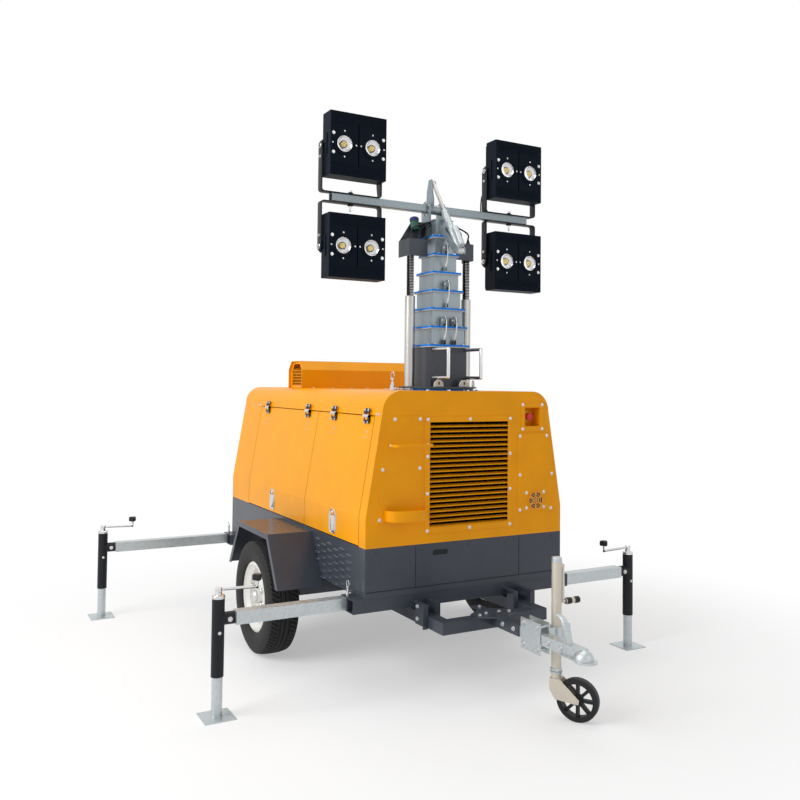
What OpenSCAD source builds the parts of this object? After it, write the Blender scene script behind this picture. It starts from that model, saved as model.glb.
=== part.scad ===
// Towed light tower with a canopy, a telescopic mast, four floodlights and four swing-down jacks.
// +X points forwards to the tow coupler, +Y to the left, +Z up, and the ground is at z = 0.
// Inside each module, x is measured from the front face of the body, which lies at front_x.

/* [Body] */
// Length of the body
body_len = 2150; // [2000:10:2400]
// Half of the body's width at its vertical sides
body_half = 622; // [600:1:660]
// Height of the body's underside
sill_z = 490; // [470:1:520]
// Height of the seam between lower body and canopy
waist_z = 740; // [720:1:780]
// Height at which the sides begin to lean in
kink_z = 890; // [860:1:920]
// How far each side leans in from the waist to the roof's round edge
side_lean = 89; // [60:1:120]
// Height at which the roof's round edge begins
eave_z = 1423; // [1400:1:1500]
// Radius of the roof's round edge
eave_r = 111; // [60:1:140]
// Thickness of canopy walls and doors
wall = 25; // [15:1:35]
// Sheet thickness of the lower body and the fenders
sheet = 4; // [2:0.5:6]
// Gap round each door
door_gap = 5; // [5:0.5:8]
// Width of the fixed strip in front of the front door
front_strip = 75; // [60:1:100]
// Width of the fixed strip behind the rear door
rear_strip = 355; // [300:1:400]
// Length of the front door's bay
front_bay = 725; // [650:1:760]
// Width of the hoop behind the doors' seam
post_w = 60; // [40:1:80]
// Depth of the hoop behind the doors' seam
post_t = 20; // [15:1:30]
// Height of the door hinges
hinge_z = 1400; // [1380:1:1410]
// Radius of a hinge knuckle
knuckle_r = 9; // [7:0.5:12]
// Radius of a hinge pin
hinge_pin_r = 4; // [3:0.5:5]

/* [Front face] */
// Half width of the louvre opening
louvre_half = 250; // [200:1:270]
// Bottom of the louvre opening
louvre_low = 820; // [800:1:860]
// Top of the louvre opening
louvre_top = 1370; // [1250:1:1380]
// Number of louvre blades
blade_count = 21; // [12:1:24]
// Depth of one louvre blade
blade_depth = 26; // [18:1:30]
// Thickness of one louvre blade
blade_t = 2; // [1.5:0.5:3]
// Thickness of the bolted covers
cover_t = 3; // [2:0.5:5]
// Emergency stop recess, from the body's left side to its middle
stop_inset = 204; // [197:1:212]
// Emergency stop recess, height of its middle
stop_z = 1392; // [1385:1:1400]
// Emergency stop recess, width and height of the opening
stop_w = 112; // [90:1:120]
// Emergency stop recess, depth
stop_depth = 70; // [50:1:90]

/* [Roof duct] */
// Distance of the duct's rear face behind the body's front
duct_back = 1600; // [1500:10:1650]
// Length of the duct along the body
duct_len = 236; // [200:1:280]
// Half of the duct's width across the body
duct_half = 420; // [380:1:421]
// Height of the duct's upright sides
duct_side_z = 1655; // [1620:1:1680]
// Height of the duct's flat top
duct_top_z = 1714; // [1690:1:1740]
// Inward lean of the duct's bevels
duct_bevel = 50; // [30:1:70]

/* [Chassis] */
// Outer width of the cross tubes
tube_w = 70; // [60:1:80]
// Wall of the cross tubes
tube_t = 4; // [3:0.5:6]
// Length of each cross tube beyond the body's side
tube_proud = 60; // [40:1:80]
// Distance of the first cross tube behind the body's front
front_tube_x = 42; // [40:1:60]
// Distance between the two cross tubes of a pair
tube_pitch = 75; // [75:1:90]
// Half distance between the chassis rails
rail_half = 350; // [300:1:400]
// Width of a chassis rail
rail_w = 50; // [40:1:60]
// Clearance of sliding and turning fits
fit_gap = 0.3; // [0.2:0.05:0.5]

/* [Wheels] */
// Distance of the axle behind the body's front
axle_x = 930; // [900:5:960]
// Radius of the tyre
tyre_r = 325; // [310:1:330]
// Width of the tyre
tyre_w = 185; // [165:1:195]
// Radius of the rim's lip
rim_r = 200; // [180:1:210]
// Distance of a wheel's middle from the centre line
track_half = 800; // [795:1:815]
// Radius of the stub axle
stub_r = 20; // [16:1:24]
// Side of the axle tube
axle_tube_w = 70; // [60:1:80]
// Distance of the axle tube in front of the wheels
axle_lead = 150; // [120:1:180]
// Half length of a fender's flat top
fender_half = 255; // [240:1:280]
// Reach of a fender's sloping ends
fender_slope = 170; // [150:1:200]
// Height of a fender's top
fender_top = 725; // [715:1:735]
// Height of a fender's lower ends
fender_low = 450; // [430:1:500]
// Depth of a fender's outer lip
fender_lip = 30; // [20:1:40]

/* [Jacks] */
// Distance of the front right jack from the centre line
jack_fr = 1333; // [1250:1:1400]
// Distance of the front left jack from the centre line
jack_fl = 1181; // [1150:1:1300]
// Distance of the rear jacks from the centre line
jack_rear = 1523; // [1400:1:1600]
// Inner end of each jack beam, from the centre line
beam_inner = 380; // [300:1:450]
// Wall of the jack beams
beam_t = 3; // [2:0.5:4]
// Radius of a jack's outer tube
jack_r = 30; // [28:1:34]
// Wall of a jack's tubes
jack_t = 4; // [3:0.5:5]
// Bottom of a jack's outer tube
jack_low = 189; // [185:1:220]
// Top of a jack's outer tube
jack_top = 566; // [560:1:600]
// Overlap of leg and outer tube as it stands
leg_overlap = 190; // [120:1:195]
// Side of a foot plate
foot_w = 150; // [130:1:160]
// Thickness of a foot plate
foot_t = 6; // [5:1:10]
// Reach of a jack's crank handle
crank_reach = 190; // [150:1:195]
// Radius of the pipe on which a jack swings
swing_r = 22; // [18:1:23]

/* [Drawbar] */
// Half width of the drawbar frame
draw_half = 321; // [300:1:340]
// Front edge of the drawbar frame, in front of the body
draw_front = 257; // [230:1:280]
// Side of the drawbar's tubes
draw_w = 60; // [50:1:62]
// Height of the drawbar frame's underside
draw_z = 340; // [335:1:345]
// Length of the drawbar's side arms behind the body's front
draw_back = 600; // [500:10:650]
// Front end of the socket for the tow tube
socket_front = 478; // [460:1:490]
// Side of the square tow tube
tow_w = 46; // [40:1:50]
// Height of the tow tube's middle
tow_z = 384; // [380:1:388]
// Wall of the tow tube and its socket
tow_t = 5; // [4:0.5:6]
// Place of the coupler's ball centre in front of the body
ball_x = 913; // [880:1:920]
// Radius of the tow ball
ball_r = 25; // [25:1:25.5]
// Radius of the coupler's round flange
coupler_r = 50; // [45:1:55]
// Reach of the coupler's tip beyond the ball centre
coupler_tip = 66; // [60:1:75]

/* [Jockey wheel] */
// Place of the jockey tube in front of the body
jockey_x = 615; // [600:1:640]
// Distance of the jockey tube from the centre line
jockey_y = 92; // [85:1:110]
// Radius of the jockey tube
jockey_r = 24; // [22:1:26]
// Wall of the jockey tube
jockey_t = 3; // [2:0.5:4]
// Lower end of the jockey tube
jockey_low = 218; // [215:1:230]
// Upper end of the jockey tube
jockey_top = 748; // [700:1:760]
// Radius of the jockey wheel
castor_r = 100; // [95:1:102]
// Width of the jockey wheel
castor_w = 45; // [35:1:50]
// Trail of the jockey wheel behind its swivel
castor_trail = 105; // [100:1:115]
// Heading of the jockey wheel
castor_turn = 33; // [0:1:45]

/* [Mast] */
// Distance of the mast's axis behind the body's front
mast_x = 338; // [330:1:360]
// Outer width of the mast's base
mast_w = 236; // [232:1:240]
// Wall of the mast's tubes
mast_t = 3; // [2:0.5:3]
// Gap between one tube and the next, taken up by slide pads
mast_gap = 6; // [5:0.5:7]
// Lower end of the mast's base
mast_low = 520; // [515:1:540]
// Top of the lowest blue plate
plate_z = 1792; // [1780:1:1820]
// Distance between the blue plates
plate_pitch = 104; // [100:1:110]
// Thickness of a blue plate
plate_t = 11; // [8:1:14]
// Blue plate's edge beyond the tube that carries it
plate_rim = 12; // [8:1:14]
// Reach of the mast's two handles
handle_reach = 165; // [80:1:180]
// Height of the mast's two handles
handle_h = 157; // [110:1:170]
// Radius of the turntable
turntable_r = 205; // [200:1:210]
// Radius of the cable tubes
cable_tube_r = 29; // [27:0.5:30]
// Distance of a cable tube from the mast's axis
cable_tube_y = 188; // [186:1:192]
// Upper end of the cable tubes
cable_tube_top = 2066; // [2000:1:2100]
// Outer radius of the curly cables
coil_r = 22; // [18:0.5:23]
// Height of the cable bracket's shelf
shelf_z = 2385; // [2370:1:2400]

/* [Lamps] */
// Height of the lamp bar
bar_z = 2588; // [2580:1:2600]
// Distance of the lamp bar behind the mast's axis
bar_back = 62; // [58:1:70]
// Half length of the lamp bar
bar_half = 660; // [650:1:700]
// Side of the square lamp bar
bar_w = 46; // [40:1:50]
// Distance of the lamps from the mast's axis
lamp_y = 540; // [530:1:560]
// Distance of a lamp's pivot from the lamp bar
lamp_rise = 276; // [274:1:290]
// Width of a lamp
lamp_w = 340; // [300:1:344]
// Height of a lamp
lamp_h = 348; // [320:1:350]
// Lamp's front face in front of its pivot
lamp_front = 100; // [80:1:105]
// Lamp's back behind its pivot
lamp_back = 20; // [10:1:40]
// Thickness of the yokes' flat bar
yoke_t = 6; // [4:1:8]
// Width of the yokes' flat bar
yoke_w = 50; // [40:1:60]
// Length of the tilt actuator's body
actuator_body_len = 300; // [260:5:330]
// Radius of the tilt actuator's body
actuator_r = 19; // [16:1:19]
// Radius of the tilt actuator's rod
actuator_rod_r = 11; // [8:1:13]

/* [Hidden] */
$fn = 48;
yellow = "#f0a31c";
slate = "#3c4048";
black = "#1d2126";
zinc = "#b9bec4";
blue = "#1277d8";
steel = "#a7a6a2";
white = "#e9e9e6";
cream = "#ddd5bf";
red = "#c81e1e";

roof_z = eave_z + eave_r;
eave_half = body_half - side_lean;
roof_half = eave_half - eave_r;
stop_y = body_half - stop_inset;
rear_tube_x = body_len - front_tube_x;
rear_reach = rear_tube_x + foot_w / 2;
front_x = (rear_reach - ball_x - coupler_tip) / 2;
slope = (body_half - eave_half) / (eave_z - kink_z);
function side_y(z, inset = 0) = z <= kink_z ? body_half - inset : body_half - inset - (z - kink_z) * slope;
door_y = side_y(hinge_z);
pin_y = door_y + knuckle_r + 3;
front_door = [-front_strip - front_bay + door_gap / 2, -front_strip - door_gap];
rear_door = [-body_len + rear_strip + door_gap, -front_strip - front_bay - door_gap / 2];
front_hinges = [front_door[1] - 70, front_door[0] + 234.5];
rear_hinges = [rear_door[1] - 143.5, rear_door[0] + 145];
front_latch = front_door[1] - 319;
rear_latch = rear_door[0] + 457;
beam_z = sill_z - tube_w / 2;
beam_w = tube_w - 2 * tube_t - 2 * fit_gap;
rail_z = sill_z - tube_w;
bar_x = -mast_x - bar_back;
lever_pin = [bar_x - 10, bar_z + 165];
clevis_pin = [bar_x + 286, bar_z - 277];
actuator_len = norm(lever_pin - clevis_pin);
journal_r = 28;
sheave_pair = [-38, 30];
pivot_r = 8;
lever_t = 10;
ring_h = 12;
tube_floor = 6;
turntable_t = 10;
turntable_top = roof_z + ring_h + fit_gap + turntable_t;

// Leaves every module's own x measured from the front face of the body
module at_front() translate([front_x, 0, 0]) children();

// Extrudes an outline drawn in (y, z) forwards from x
module along_x(x, len) translate([x, 0, 0]) rotate([90, 0, 90]) linear_extrude(len) children();

// Extrudes an outline drawn in (x, z) to the left from y
module along_y(y, len) translate([0, y + len, 0]) rotate([90, 0, 0]) linear_extrude(len) children();

module box(x, y, z) translate([x[0], y[0], z[0]]) cube([x[1] - x[0], y[1] - y[0], z[1] - z[0]]);

module rod_y(x, y, z, r) translate([x, y[0], z]) rotate([-90, 0, 0]) cylinder(r = r, h = y[1] - y[0]);

module rod_x(x, y, z, r) translate([x[0], y, z]) rotate([0, 90, 0]) cylinder(r = r, h = x[1] - x[0]);

// A straight round bar from a to b
module rod(a, b, r) {
  d = b - a;
  len = norm(d);
  translate(a) rotate([0, acos(d[2] / len), atan2(d[1], d[0])]) cylinder(r = r, h = len);
}

module flip_y(s) mirror([0, s < 0 ? 1 : 0, 0]) children();

// Outline of the body across its length, with the sides moved in by inset
module body_outline(inset, low) {
  half = [[body_half - inset, low], [body_half - inset, kink_z],
    for (a = [0:7.5:90]) [eave_half - eave_r + (eave_r - inset) * cos(a),
      eave_z + (eave_r - inset) * sin(a)]];
  polygon(concat(half, [for (i = [len(half) - 1:-1:0]) [-half[i][0], half[i][1]]]));
}

module square_tube_y(x, y, z, w, t) difference() {
  box([x - w / 2, x + w / 2], y, [z - w / 2, z + w / 2]);
  box([x - w / 2 + t, x + w / 2 - t], [y[0] - 1, y[1] + 1], [z - w / 2 + t, z + w / 2 - t]);
}

// The four cross tubes carry the jack beams, and the rails run between the pairs
module chassis() color(slate) at_front() {
  for (x = [front_tube_x, front_tube_x + tube_pitch, rear_tube_x - tube_pitch, rear_tube_x])
    square_tube_y(-x, [-body_half - tube_proud, body_half + tube_proud], beam_z, tube_w, tube_t);
  for (s = [-1, 1]) {
    box([-rear_tube_x + tube_pitch + tube_w / 2, -front_tube_x - tube_pitch - tube_w / 2],
      [s * rail_half - rail_w / 2, s * rail_half + rail_w / 2], [rail_z, sill_z]);
    for (x = [front_tube_x, rear_tube_x - tube_pitch])
      box([-x - tube_pitch + tube_w / 2, -x - tube_w / 2],
        [s * rail_half - rail_w / 2, s * rail_half + rail_w / 2], [rail_z, sill_z]);
    flip_y(s) {
      hanger(draw_half, 1, 125);
      hanger(draw_half - draw_w, -1, 95);
      box([-draw_back + 60, -draw_back + 150], [draw_half, draw_half + sheet + 1], [draw_z - 4, sill_z - 15]);
    }
  }
}

// A folded channel in front of the first cross tube, on which a side arm of the drawbar hangs
module hanger(y, out, len) {
  x0 = -front_tube_x + tube_w / 2 - 1;
  z = [draw_z - 4, sill_z - 33];
  translate([0, y, 0]) mirror([0, out < 0 ? 1 : 0, 0]) {
    box([x0, x0 + len], [0, sheet], z);
    box([x0 + len - sheet, x0 + len], [0, 30], z);
    box([x0, x0 + len], [0, 30], [z[1] - sheet, z[1]]);
  }
}

// Open-topped tub with a sill for the doors and a pedestal for the mast
module lower_body() color(slate) at_front() {
  difference() {
    box([-body_len, 0], [-body_half, body_half], [sill_z, waist_z]);
    box([-body_len + sheet, -sheet], [-body_half + sheet, body_half - sheet],
      [sill_z + sheet, waist_z - sheet]);
    box([-body_len + wall, -wall], [-body_half + wall, body_half - wall], [waist_z - sheet - 1, waist_z + 1]);
  }
  translate([-mast_x, 0, sill_z + sheet - 1]) cylinder(r = 90, h = mast_low - sill_z - sheet + 1 - fit_gap);
}

// Shell of roof, ends and fixed strips, open along both sides for the doors
module canopy() color(yellow) at_front() {
  bay = [-body_len + rear_strip, -front_strip];
  difference() {
    along_x(-body_len, body_len) body_outline(0, waist_z);
    along_x(-body_len + wall, body_len - 2 * wall) body_outline(wall, waist_z - 1);
    for (s = [-1, 1]) flip_y(s)
      box(bay, [roof_half, body_half + 10], [waist_z - 1, hinge_z + door_gap]);
    box([-wall - 1, 1], [-louvre_half, louvre_half], [louvre_low, louvre_top]);
    box([-wall - 1, 1], [stop_y - stop_w / 2, stop_y + stop_w / 2],
      [stop_z - stop_w / 2, stop_z + stop_w / 2]);
    translate([-mast_x, 0, roof_z - wall - 1]) cylinder(r = turntable_r - 30, h = wall + 2);
    box([-duct_back + 20, -duct_back + duct_len - 20], [-duct_half + 60, duct_half - 60],
      [roof_z - wall - 1, roof_z + 1]);
  }
  door_post();
  for (s = [-1, 1], x = concat(front_hinges, rear_hinges)) flip_y(s) fixed_hinge_leaf(x);
}

// Hoop behind the seam of the two doors, from the floor up under the roof
module door_post() along_x(-front_strip - front_bay - post_w / 2, post_w) difference() {
  union() {
    body_outline(wall + door_gap, sill_z + sheet);
    intersection() {
      body_outline(wall - 1, waist_z);
      translate([-body_half, hinge_z + door_gap + 4]) square([2 * body_half, roof_z - hinge_z]);
    }
  }
  body_outline(wall + door_gap + post_t, sill_z);
}

// Fixed half of a hinge: a leaf on the roof's edge, two knuckles and the pin
module fixed_hinge_leaf(x) {
  for (k = [-30, 13]) {
    rod_x([x + k, x + k + 17], pin_y, hinge_z, knuckle_r);
    along_x(x + k, 17) polygon([[side_y(hinge_z + 6) - 3, hinge_z + door_gap + 1], [pin_y, hinge_z],
      [pin_y + 4, hinge_z + 8], [eave_half + 1, eave_z + 12], [eave_half - 4, eave_z + 12]]);
  }
  rod_x([x - 30, x + 30], pin_y, hinge_z, hinge_pin_r);
}

// One door: a thick leaf with its kink, the moving hinge leaves and a paddle latch
module door(s, span, hinges, latch) color(yellow) at_front() flip_y(s) {
  low = waist_z + door_gap;
  difference() {
    along_x(span[0], span[1] - span[0])
      polygon([[body_half, low], [body_half, kink_z], [door_y, hinge_z], [door_y - wall, hinge_z],
        [body_half - wall, kink_z], [body_half - wall, low]]);
    box([latch - 32, latch + 32], [body_half - 8, body_half + 1], [waist_z + 20, kink_z - 5]);
  }
  box([latch - 26, latch + 26], [body_half - 9, body_half - 2], [waist_z + 24, kink_z - 60]);
  box([latch - 18, latch + 18], [body_half - 9, body_half + 4], [kink_z - 56, kink_z - 12]);
  for (x = hinges) difference() {
    union() {
      rod_x([x - 12, x + 12], pin_y, hinge_z, knuckle_r);
      along_x(x - 12, 24) polygon([[side_y(hinge_z - 34) - 2, hinge_z - 34],
        [side_y(hinge_z - 34) + 4, hinge_z - 34],
        [pin_y + 4, hinge_z - 8], [pin_y, hinge_z], [door_y - 2, hinge_z - 6]]);
    }
    rod_x([x - 13, x + 13], pin_y, hinge_z, hinge_pin_r + fit_gap);
  }
}

module door_right_front() door(-1, front_door, front_hinges, front_latch);
module door_right_rear() door(-1, rear_door, rear_hinges, rear_latch);
module door_left_front() door(1, front_door, front_hinges, front_latch);
module door_left_rear() door(1, rear_door, rear_hinges, rear_latch);

// Frame plate and slanting blades over the radiator's air inlet
module front_louvre() color(yellow) at_front() {
  rim = 30;
  difference() {
    box([0, cover_t], [-louvre_half - rim, louvre_half + rim], [louvre_low - rim, louvre_top + rim]);
    box([-1, cover_t + 1], [-louvre_half, louvre_half], [louvre_low, louvre_top]);
  }
  low = louvre_low + 1;
  pitch = (louvre_top - louvre_low - 2) / blade_count;
  for (i = [0:blade_count - 1]) {
    z = low + i * pitch;
    along_y(-louvre_half + 1, 2 * louvre_half - 2)
      polygon([[cover_t, z], [cover_t, z + blade_t], [-blade_depth + cover_t, z + pitch],
        [-blade_depth + cover_t, z + pitch - blade_t]]);
  }
  box([-blade_depth + cover_t + 4, -1], [-6, 6], [louvre_low + fit_gap, louvre_top - fit_gap]);
  for (s = [-1, 1]) flip_y(s) box([-blade_depth + cover_t - 1, cover_t - 1],
    [louvre_half - 2, louvre_half], [louvre_low + fit_gap, louvre_top - fit_gap]);
}

// Bolted covers beside the louvre, each flush on the front wall, and a round vent
module front_covers() color(yellow) at_front() {
  inner = louvre_half + 48;
  low = louvre_low + 41;
  along_x(0, cover_t) polygon([[-inner, low], [-inner, eave_z - 18], [-side_y(eave_z) + 55, eave_z - 18],
    [-side_y(1168) + 30, 1168], [-side_y(low) + 60, low]]);
  along_x(0, cover_t) polygon([[inner + 20, low], [inner + 20, 1300], [side_y(1300) - 18, 1300],
    [side_y(1074) - 20, 1074], [side_y(low) - 58, low]]);
  rod_x([cover_t - 1, cover_t + 6], body_half - 183, 925, 50);
}

// Recessed box with the emergency stop
module stop_box() color(yellow) at_front() {
  half = stop_w / 2;
  clear = fit_gap;
  difference() {
    union() {
      box([0, cover_t], [stop_y - half - 24, stop_y + half + 24], [stop_z - half - 24, stop_z + half + 24]);
      box([-stop_depth, 1], [stop_y - half + clear, stop_y + half - clear],
        [stop_z - half + clear, stop_z + half - clear]);
    }
    box([-stop_depth + 3, cover_t + 1], [stop_y - half + 4, stop_y + half - 4],
      [stop_z - half + 4, stop_z + half - 4]);
  }
  rod_x([-stop_depth + 2, -stop_depth + 8], stop_y, stop_z, 32);
  rod_x([-stop_depth + 7, -stop_depth + 30], stop_y, stop_z, 12);
  rod_x([-stop_depth + 29, -stop_depth + 44], stop_y, stop_z, 20);
}

// Two bent strips on which cables are hung
module cable_hooks() color(yellow) at_front() {
  // Each row holds the height of a strip's middle, its width, its reach and the places of its two ends
  // from the body's right side
  for (h = [[1255, 14, 70, 127, 365], [900, 56, 80, 108, 345]])
    translate([cover_t, -body_half, h[0] - h[1] / 2]) linear_extrude(h[1])
      polygon([[0, h[3]], [h[2], h[3] + 26], [h[2], h[4] - 26], [0, h[4]], [0, h[4] - 5],
        [h[2] - 4, h[4] - 30], [h[2] - 4, h[3] + 30], [0, h[3] + 5]]);
}

// Bolted service cover with air slots on the rear wall
module rear_cover() color(yellow) at_front() difference() {
  box([-body_len - cover_t, -body_len], [-300, 300], [820, 1370]);
  for (z = [880:40:1320]) box([-body_len - cover_t - 1, -body_len + 1], [-220, 220], [z - 6, z + 6]);
}

// Outlet duct across the roof, open at both ends behind a grid
module roof_duct() color(yellow) at_front() {
  x0 = -duct_back;
  x1 = -duct_back + duct_len;
  difference() {
    along_y(-duct_half, 2 * duct_half) duct_outline(0);
    along_y(-duct_half - 1, 2 * duct_half + 2) duct_outline(sheet, roof_z - 1);
  }
  for (s = [-1, 1]) flip_y(s) {
    along_y(duct_half - 22, sheet) difference() {
      duct_outline(sheet - 1);
      polygon([[x0 + 25, roof_z + 20], [x0 + 25, duct_side_z - 5], [x0 + 60, duct_top_z - 20],
        [x1 - 60, duct_top_z - 20], [x1 - 25, duct_side_z - 5], [x1 - 25, roof_z + 20]]);
    }
    for (x = [x0 + 38:20:x1 - 30]) box([x, x + 3], [duct_half - 21, duct_half - 19],
      [roof_z + 5, duct_side_z + 10]);
    for (z = [roof_z + 36:20:duct_side_z]) box([x0 + 10, x1 - 10], [duct_half - 21, duct_half - 19],
      [z, z + 3]);
  }
}

module duct_outline(t, low = roof_z) {
  x0 = -duct_back + t;
  x1 = -duct_back + duct_len - t;
  polygon([[x0, low], [x0, duct_side_z - t * 0.4], [x0 + duct_bevel - t * 0.3, duct_top_z - t],
    [x1 - duct_bevel + t * 0.3, duct_top_z - t], [x1, duct_side_z - t * 0.4], [x1, low]]);
}

// Blue ring on the roof in which the mast turns
module roof_ring() color(blue) at_front() translate([-mast_x, 0, roof_z]) difference() {
  cylinder(r = turntable_r, h = ring_h);
  translate([0, 0, -1]) cylinder(r = turntable_r - 30, h = ring_h + 2);
}

// Engine and generator as one plain block on the floor
module engine() color(black) at_front()
  box([-1750, -650], [-260, 260], [sill_z + sheet, 1080]);

// Trapezoid mudguard, bent from one sheet with an outer lip
module fender(s) color(slate) at_front() flip_y(s) {
  outer = track_half + tyre_w / 2;
  along_y(body_half, outer - body_half) difference() {
    fender_outline(0);
    fender_outline(sheet);
    translate([-axle_x - 1000, 0]) square([2000, fender_low]);
  }
  along_y(outer - sheet, sheet) difference() {
    fender_outline(0);
    fender_outline(fender_lip);
    translate([-axle_x - 1000, 0]) square([2000, fender_low]);
  }
}

module fender_outline(t) {
  top = fender_half - t * 0.55;
  foot = top + fender_slope * (fender_top - fender_low + 10) / (fender_top - fender_low);
  translate([-axle_x, 0]) polygon([[-foot, fender_low - 10 - t], [-top, fender_top - t],
    [top, fender_top - t],
    [foot, fender_low - 10 - t]]);
}

module fender_right() fender(-1);
module fender_left() fender(1);

// Axle tube under the rails, with a trailing arm and a stub at each end
module axle() color(slate) at_front() {
  x = -axle_x + axle_lead;
  arm = track_half - tyre_w / 2 - 14;
  box([x - axle_tube_w / 2, x + axle_tube_w / 2], [-arm + 30, arm - 30], [rail_z - axle_tube_w, rail_z]);
  for (s = [-1, 1]) flip_y(s) {
    hull() {
      rod_y(x, [arm - 30, arm], rail_z - axle_tube_w / 2, 36, $fn = 32);
      rod_y(-axle_x, [arm - 30, arm], tyre_r, 32, $fn = 32);
    }
    rod_y(-axle_x, [arm - 1, track_half + 30], tyre_r, stub_r);
  }
}

module tyre(s) color(black) at_front() flip_y(s) translate([-axle_x, track_half, tyre_r]) rotate([90, 0, 0])
  rotate_extrude($fn = 96) {
    w = tyre_w / 2;
    polygon([[rim_r, -w + 22], [rim_r + 12, -w + 8], [rim_r + 60, -w], [tyre_r - 40, -w + 3],
      [tyre_r - 12, -w + 14],
      [tyre_r - 2, -w + 26], [tyre_r, 0], [tyre_r - 2, w - 26], [tyre_r - 12, w - 14], [tyre_r - 40, w - 3],
      [rim_r + 60, w], [rim_r + 12, w - 8], [rim_r, w - 22]]);
  }

// Steel wheel: barrel, dished disc with windows, and a hub bored for the stub axle
module rim(s) color(white) at_front() flip_y(s) translate([-axle_x, track_half, tyre_r]) rotate([-90, 0, 0]) {
  w = tyre_w / 2 - 22;
  rotate_extrude($fn = 96) polygon([[rim_r - 16, -w], [rim_r, -w], [rim_r, w], [rim_r - 16, w + 6],
    [rim_r - 22, w - 6], [rim_r - 40, w - 26], [rim_r - 46, -w + 10]]);
  difference() {
    rotate_extrude($fn = 96) polygon([[60, 36], [rim_r - 60, 22], [rim_r - 38, 16], [rim_r - 38, 8],
      [rim_r - 62, 14], [60, 28]]);
    for (a = [0:30:330]) rotate([0, 0, a]) translate([rim_r - 72, 0, 0])
      linear_extrude(60) polygon([[-16, -17], [14, -9], [14, 9], [-16, 17]]);
  }
  difference() {
    union() {
      translate([0, 0, -34]) cylinder(r = 55, h = 62);
      translate([0, 0, 27]) cylinder(r = 72, h = 10);
      translate([0, 0, 36]) cylinder(r = 42, h = 26);
    }
    translate([0, 0, -35]) cylinder(r = stub_r + fit_gap, h = 35 + 30 + 1);
  }
}

module tyre_right() tyre(-1);
module rim_right() rim(-1);
module tyre_left() tyre(1);
module rim_left() rim(1);

// Galvanised beam in a cross tube, with the pipe on which its jack swings
module beam(s, x, reach) color(zinc) at_front() flip_y(s) {
  end = reach - jack_r - 50;
  square_tube_y(-x, [beam_inner, end], beam_z, beam_w, beam_t);
  box([-x - beam_w / 2, -x + beam_w / 2], [end - 6, end], [beam_z - beam_w / 2, beam_z + beam_w / 2]);
  rod_y(-x, [end - 1, reach - jack_r - 6], beam_z, swing_r);
}

// Jack with its swivel collar, its closed top and its crank
module jack(s, x, reach) color(black) at_front() flip_y(s) {
  difference() {
    union() {
      translate([-x, reach, jack_low]) cylinder(r = jack_r, h = jack_top - jack_low);
      rod_y(-x, [reach - jack_r - 46, reach - 10], beam_z, swing_r + 8);
    }
    rod_y(-x, [reach - jack_r - 47, reach - jack_r - 5], beam_z, swing_r + fit_gap);
    translate([-x, reach, jack_low - 1]) cylinder(r = jack_r - jack_t, h = jack_top - jack_low - 5);
  }
  translate([-x, reach, jack_top - 1]) cylinder(r = 14, h = 34);
  rod([-x, reach, jack_top + 26], [-x, reach - crank_reach, jack_top + 20], 6);
  rod([-x, reach - crank_reach, jack_top + 14], [-x, reach - crank_reach, jack_top + 58], 6);
  translate([-x, reach - crank_reach, jack_top + 54]) cylinder(r = 20, h = 26);
}

// Inner leg and foot plate
module leg(s, x, reach) color(zinc) at_front() flip_y(s) translate([-x, reach, 0]) {
  r = jack_r - jack_t - fit_gap;
  difference() {
    translate([0, 0, foot_t - 1]) cylinder(r = r, h = jack_low + leg_overlap - foot_t + 1);
    translate([0, 0, foot_t]) cylinder(r = r - 3, h = jack_low + leg_overlap);
  }
  translate([-foot_w / 2, -foot_w / 2, 0]) cube([foot_w, foot_w, foot_t]);
}

module beam_front_right() beam(-1, front_tube_x + tube_pitch, jack_fr);
module jack_front_right() jack(-1, front_tube_x + tube_pitch, jack_fr);
module leg_front_right() leg(-1, front_tube_x + tube_pitch, jack_fr);
module beam_front_left() beam(1, front_tube_x, jack_fl);
module jack_front_left() jack(1, front_tube_x, jack_fl);
module leg_front_left() leg(1, front_tube_x, jack_fl);
module beam_rear_right() beam(-1, rear_tube_x, jack_rear);
module jack_rear_right() jack(-1, rear_tube_x, jack_rear);
module leg_rear_right() leg(-1, rear_tube_x, jack_rear);
module beam_rear_left() beam(1, rear_tube_x - tube_pitch, jack_rear);
module jack_rear_left() jack(1, rear_tube_x - tube_pitch, jack_rear);
module leg_rear_left() leg(1, rear_tube_x - tube_pitch, jack_rear);

// Square frame under the body, a Y-shaped gusset and the socket for the tow tube
module drawbar_frame() color(slate) at_front() {
  z = [draw_z, draw_z + draw_w];
  for (s = [-1, 1]) flip_y(s) box([-draw_back, draw_front], [draw_half - draw_w, draw_half], z);
  box([draw_front - draw_w, draw_front], [-draw_half + draw_w, draw_half - draw_w], z);
  box([-draw_back, -draw_back + draw_w], [-draw_half + draw_w, draw_half - draw_w], z);
  half = tow_w / 2 + tow_t + fit_gap;
  difference() {
    union() {
      box([draw_front - 1, socket_front], [-half, half], [tow_z - half, tow_z + half]);
      drawbar_gusset(half);
    }
    box([draw_front + 10, socket_front + 1], [-half + tow_t, half - tow_t],
      [tow_z - half + tow_t, tow_z + half - tow_t]);
    for (x = [socket_front - 40, socket_front - 130]) rod_y(x, [-half - 1, half + 1], tow_z, 6.5);
  }
}

// Plate on the front member, which spreads the socket's pull into a Y
module drawbar_gusset(half) translate([0, 0, draw_z + draw_w - 1]) linear_extrude(7)
  polygon([[draw_front - draw_w, -120], [draw_front, -120], [draw_front + 50, -half], [draw_front + 50, half],
    [draw_front, 120], [draw_front - draw_w, 120], [draw_front - 120, 30], [draw_front - 200, 30],
    [draw_front - 200, -30], [draw_front - 120, -30]]);

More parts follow.
